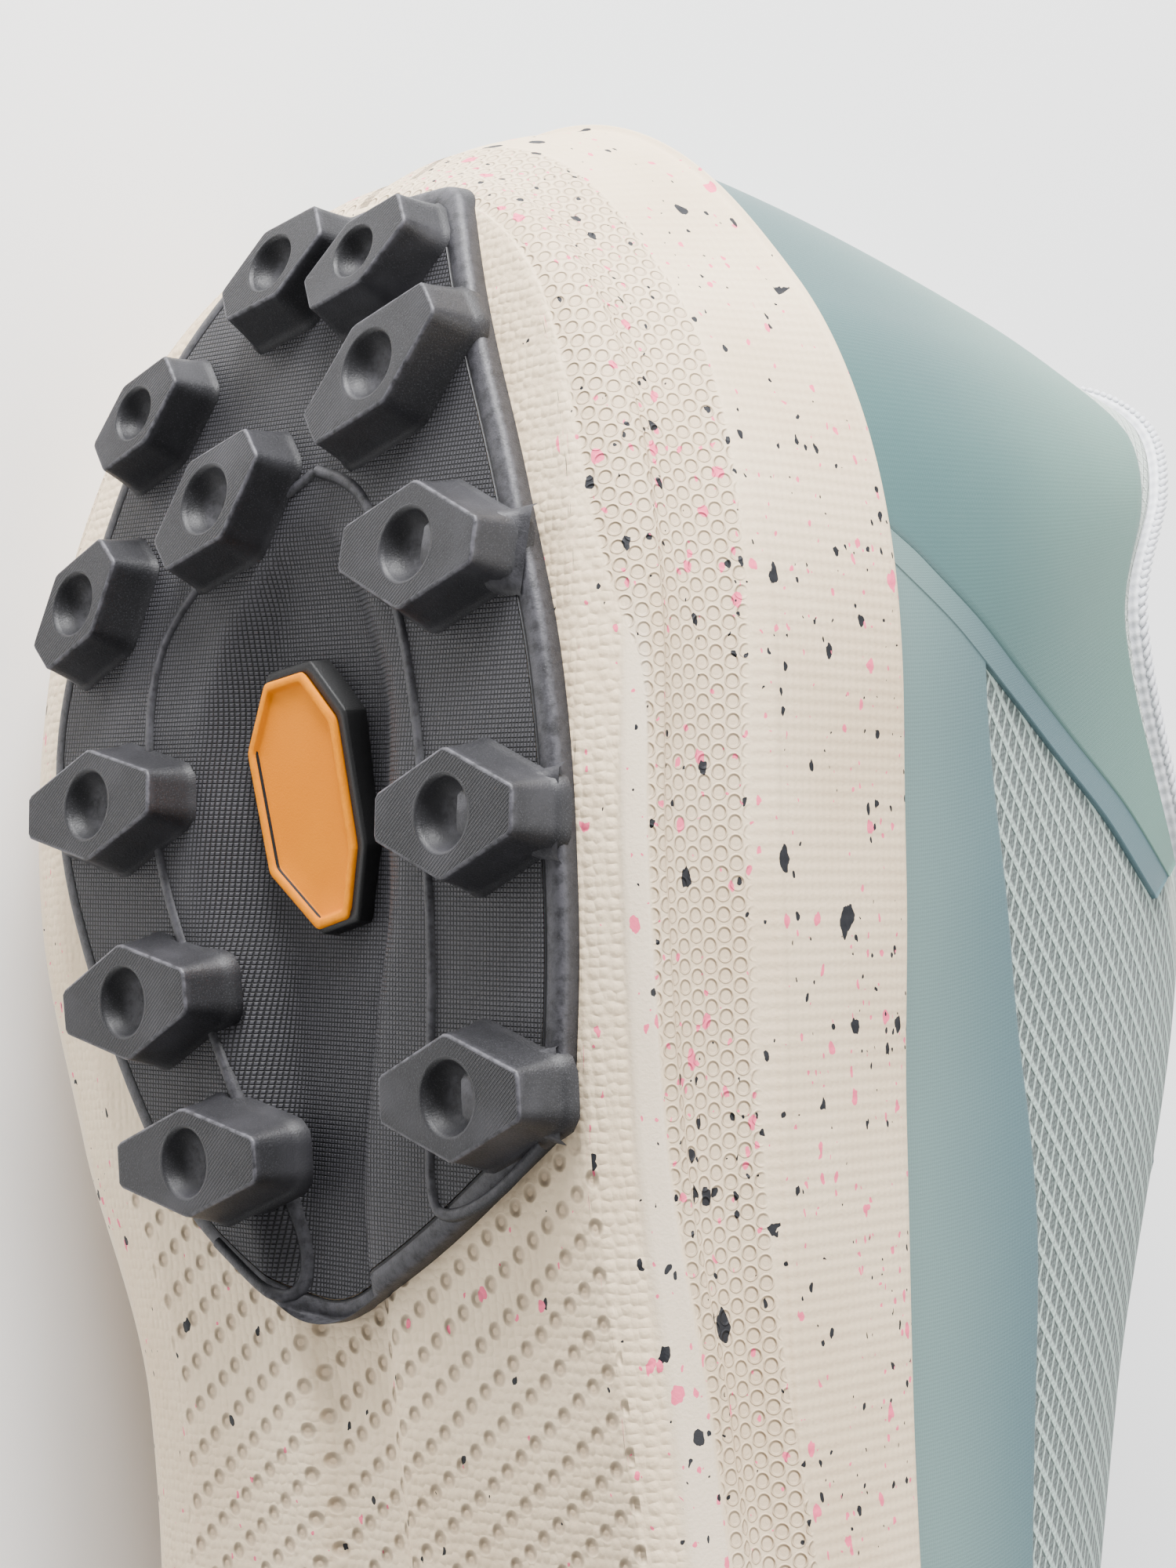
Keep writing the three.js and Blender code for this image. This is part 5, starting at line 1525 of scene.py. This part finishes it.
# %% Laces and eyelets
LACE_ROWS, LACE_WIDTH, LACE_THICK = 5, 5.5, 1.6
FIRST_LACE, LAST_LACE, SPARE_EYELET = 0.5, 0.79, 0.47
EYELET_UP, LACE_LIFT, LACE_SINK = 0.93, 2.9, 4.3
FILM_FIT, FILM = 0.65, 0.8


def eyelet_out(turn):
    """The direction straight out of the upper at an eyelet."""
    return unit(off_skin(turn, EYELET_UP, 1.0) - off_skin(turn, EYELET_UP, 0.0))


def lace_end(t, side):
    turn = t / 2 if side < 0 else 1 - t / 2
    return off_skin(turn, EYELET_UP, FILM_FIT + FILM + LACE_LIFT + LACE_THICK / 2), eyelet_out(turn)


def lace_bar(first, second, over):
    (a, up_a), (b, up_b) = lace_end(*first), lace_end(*second)
    crown = tongue_row((first[0] + second[0]) / 2, -0.9 - LACE_THICK / 2)[8]
    pull = 2 * crown - (a + b) / 2
    ways = np.linspace(0, 1, 34)[:, None]
    path = (1 - ways) ** 2 * a + 2 * ways * (1 - ways) * pull + ways**2 * b
    path[:, 2] += over * np.exp(-(((ways[:, 0] - 0.5) / 0.16) ** 2))
    up = unit(up_a * (1 - ways) + up_b * ways)
    at_end = 1 - ease(np.minimum(ways, 1 - ways), 0.0, 0.14)
    path -= up * at_end * LACE_SINK
    along = unit(np.gradient(path, axis=0))
    across = unit(np.cross(along, up))
    lift = unit(np.cross(across, along))
    angle = np.arange(20) / 20 * math.tau
    flat = np.sign(np.cos(angle)) * np.abs(np.cos(angle)) ** 0.5 * LACE_WIDTH / 2
    thick = np.sign(np.sin(angle)) * np.abs(np.sin(angle)) ** 0.7 * LACE_THICK / 2
    flat = flat[None, :, None] * (1 - 0.5 * at_end)[:, :, None]
    return path[:, None] + across[:, None] * flat - lift[:, None] * thick[None, :, None]


def make_laces():
    places = np.linspace(FIRST_LACE, LAST_LACE, LACE_ROWS)
    bars = [lace_bar((places[-1], -1), (places[-1], 1), 0)]
    for near, far in zip(places, places[1:]):
        bars += [lace_bar((near, -1), (far, 1), 0.2), lace_bar((far, -1), (near, 1), 1.1)]
    faces = []
    for i, (rows, count) in enumerate(bar.shape[:2] for bar in bars):
        first = i * rows * count
        faces += net_faces(rows, count, True, first) + end_caps(rows, count, first)
    place = np.concatenate([section_place(bar) for bar in bars])
    lengths = [np.linalg.norm(np.diff(bar.mean(1), axis=0), axis=1).sum() for bar in bars]
    print("lace crossings in mm:", [round(float(length)) for length in lengths])
    return make_piece("flat_laces", np.concatenate(bars).reshape(-1, 3), faces, LACE, ["laces"],
                      {"cloth": place})


make_laces()


def make_eyelets():
    stack = Stack()
    angle = np.arange(20)[:, None] / 20 * math.tau
    for t in (*np.linspace(FIRST_LACE, LAST_LACE, LACE_ROWS), SPARE_EYELET):
        for turn in (t / 2, 1 - t / 2):
            centre, out = off_skin(turn, EYELET_UP, 0.55), eyelet_out(turn)
            side = unit(off_skin(turn + 0.002, EYELET_UP, 0.5) - off_skin(turn - 0.002, EYELET_UP, 0.5))
            circle = side * np.cos(angle) + np.cross(out, side) * np.sin(angle)
            rings = [centre + circle * radius + out * lift for radius, lift in (
                (1.0, -0.3), (1.05, 0.25), (1.35, 0.5), (1.9, 0.5), (2.2, 0.25), (2.3, -0.3))]
            stack.add(rings, net_faces(len(rings), len(angle)), 0.3, 1.0)
    return stack.make("eyelet_rings", RUBBER_FINISH, [])


make_eyelets()

# %% The footbed
FOOTBED_THICK = 4.0




def make_footbed():
    depth, count = WALL + 3 * FIT, len(turns)
    rings = [shelf_ring(depth + further, FIT + FOOTBED_THICK - down) for further, down in (
        (0, FOOTBED_THICK), (0, 0.6), (0.25, 0.15), (0.8, 0))]
    points = np.concatenate(rings)
    top, top_faces = sheet_between(rings[-1], lambda x, y: shelf_z(x) + FIT + FOOTBED_THICK, 16)
    own, first = len(points), (len(rings) - 1) * count
    faces = net_faces(len(rings), count)
    faces += [[i + first if i < count else i for i in face] for face in top_faces(own)]
    faces.append(list(range(count))[::-1])
    points = np.concatenate([points, top])
    return make_piece("footbed", points, faces, FOOTBED, ["insole"], {"cloth": points})


make_footbed()

# %% [markdown]
# ## Floor and light
#
# The floor is a plain pale sheet, large enough for every view. The light in the photograph is soft: a large
# lamp beyond the heel and a little to the outer side, one wide lamp above, and a bright room that fills
# the shadows. Area lamps give soft edges to the shadows, and their size and place matter more than their
# number.


# %% Floor, lamps and room
def make_floor():
    mesh = bpy.data.meshes.new("floor")
    reach = 4.0
    mesh.from_pydata([(-reach, -reach, 0), (reach, -reach, 0), (reach, reach, 0), (-reach, reach, 0)], [], [(0, 1, 2, 3)])
    finish, tree, shader = new_finish("pale_floor", Roughness=0.9)
    shade = noise(tree, put(tree, "ShaderNodeTexCoord").outputs["Object"], 1.5, 2.0)
    tree.links.new(blend(tree, shade, srgb(250, 250, 250), srgb(255, 255, 255)), shader.inputs["Base Color"])
    mesh.materials.append(finish)
    floor = add_object("floor", mesh)
    return floor


def lamp(name, place, aim, size, power):
    """An area lamp; place and aim are points of the standing shoe in millimetres."""
    data = bpy.data.lights.new(name, "AREA")
    data.shape = "DISK"
    data.size = size
    data.energy = power
    light = add_object(name, data)
    where, target = (Vector(lay([p])[0]) for p in (place, aim))
    light.location = where
    light.rotation_mode = "QUATERNION"
    light.rotation_quaternion = (target - where).to_track_quat("-Z", "Y")
    return light


make_floor()
lamp("lamp_beyond_the_heel", (-700, -260, -120), (70, -20, 20), 0.5, 28)
lamp("lamp_above", (60, -900, 150), (80, -40, 20), 0.9, 9)

room = bpy.data.worlds.new("bright_room")
bpy.context.scene.world = room
room.use_nodes = True
room.node_tree.nodes["Background"].inputs["Color"].default_value = (1, 1, 1, 1)
room.node_tree.nodes["Background"].inputs["Strength"].default_value = 0.52
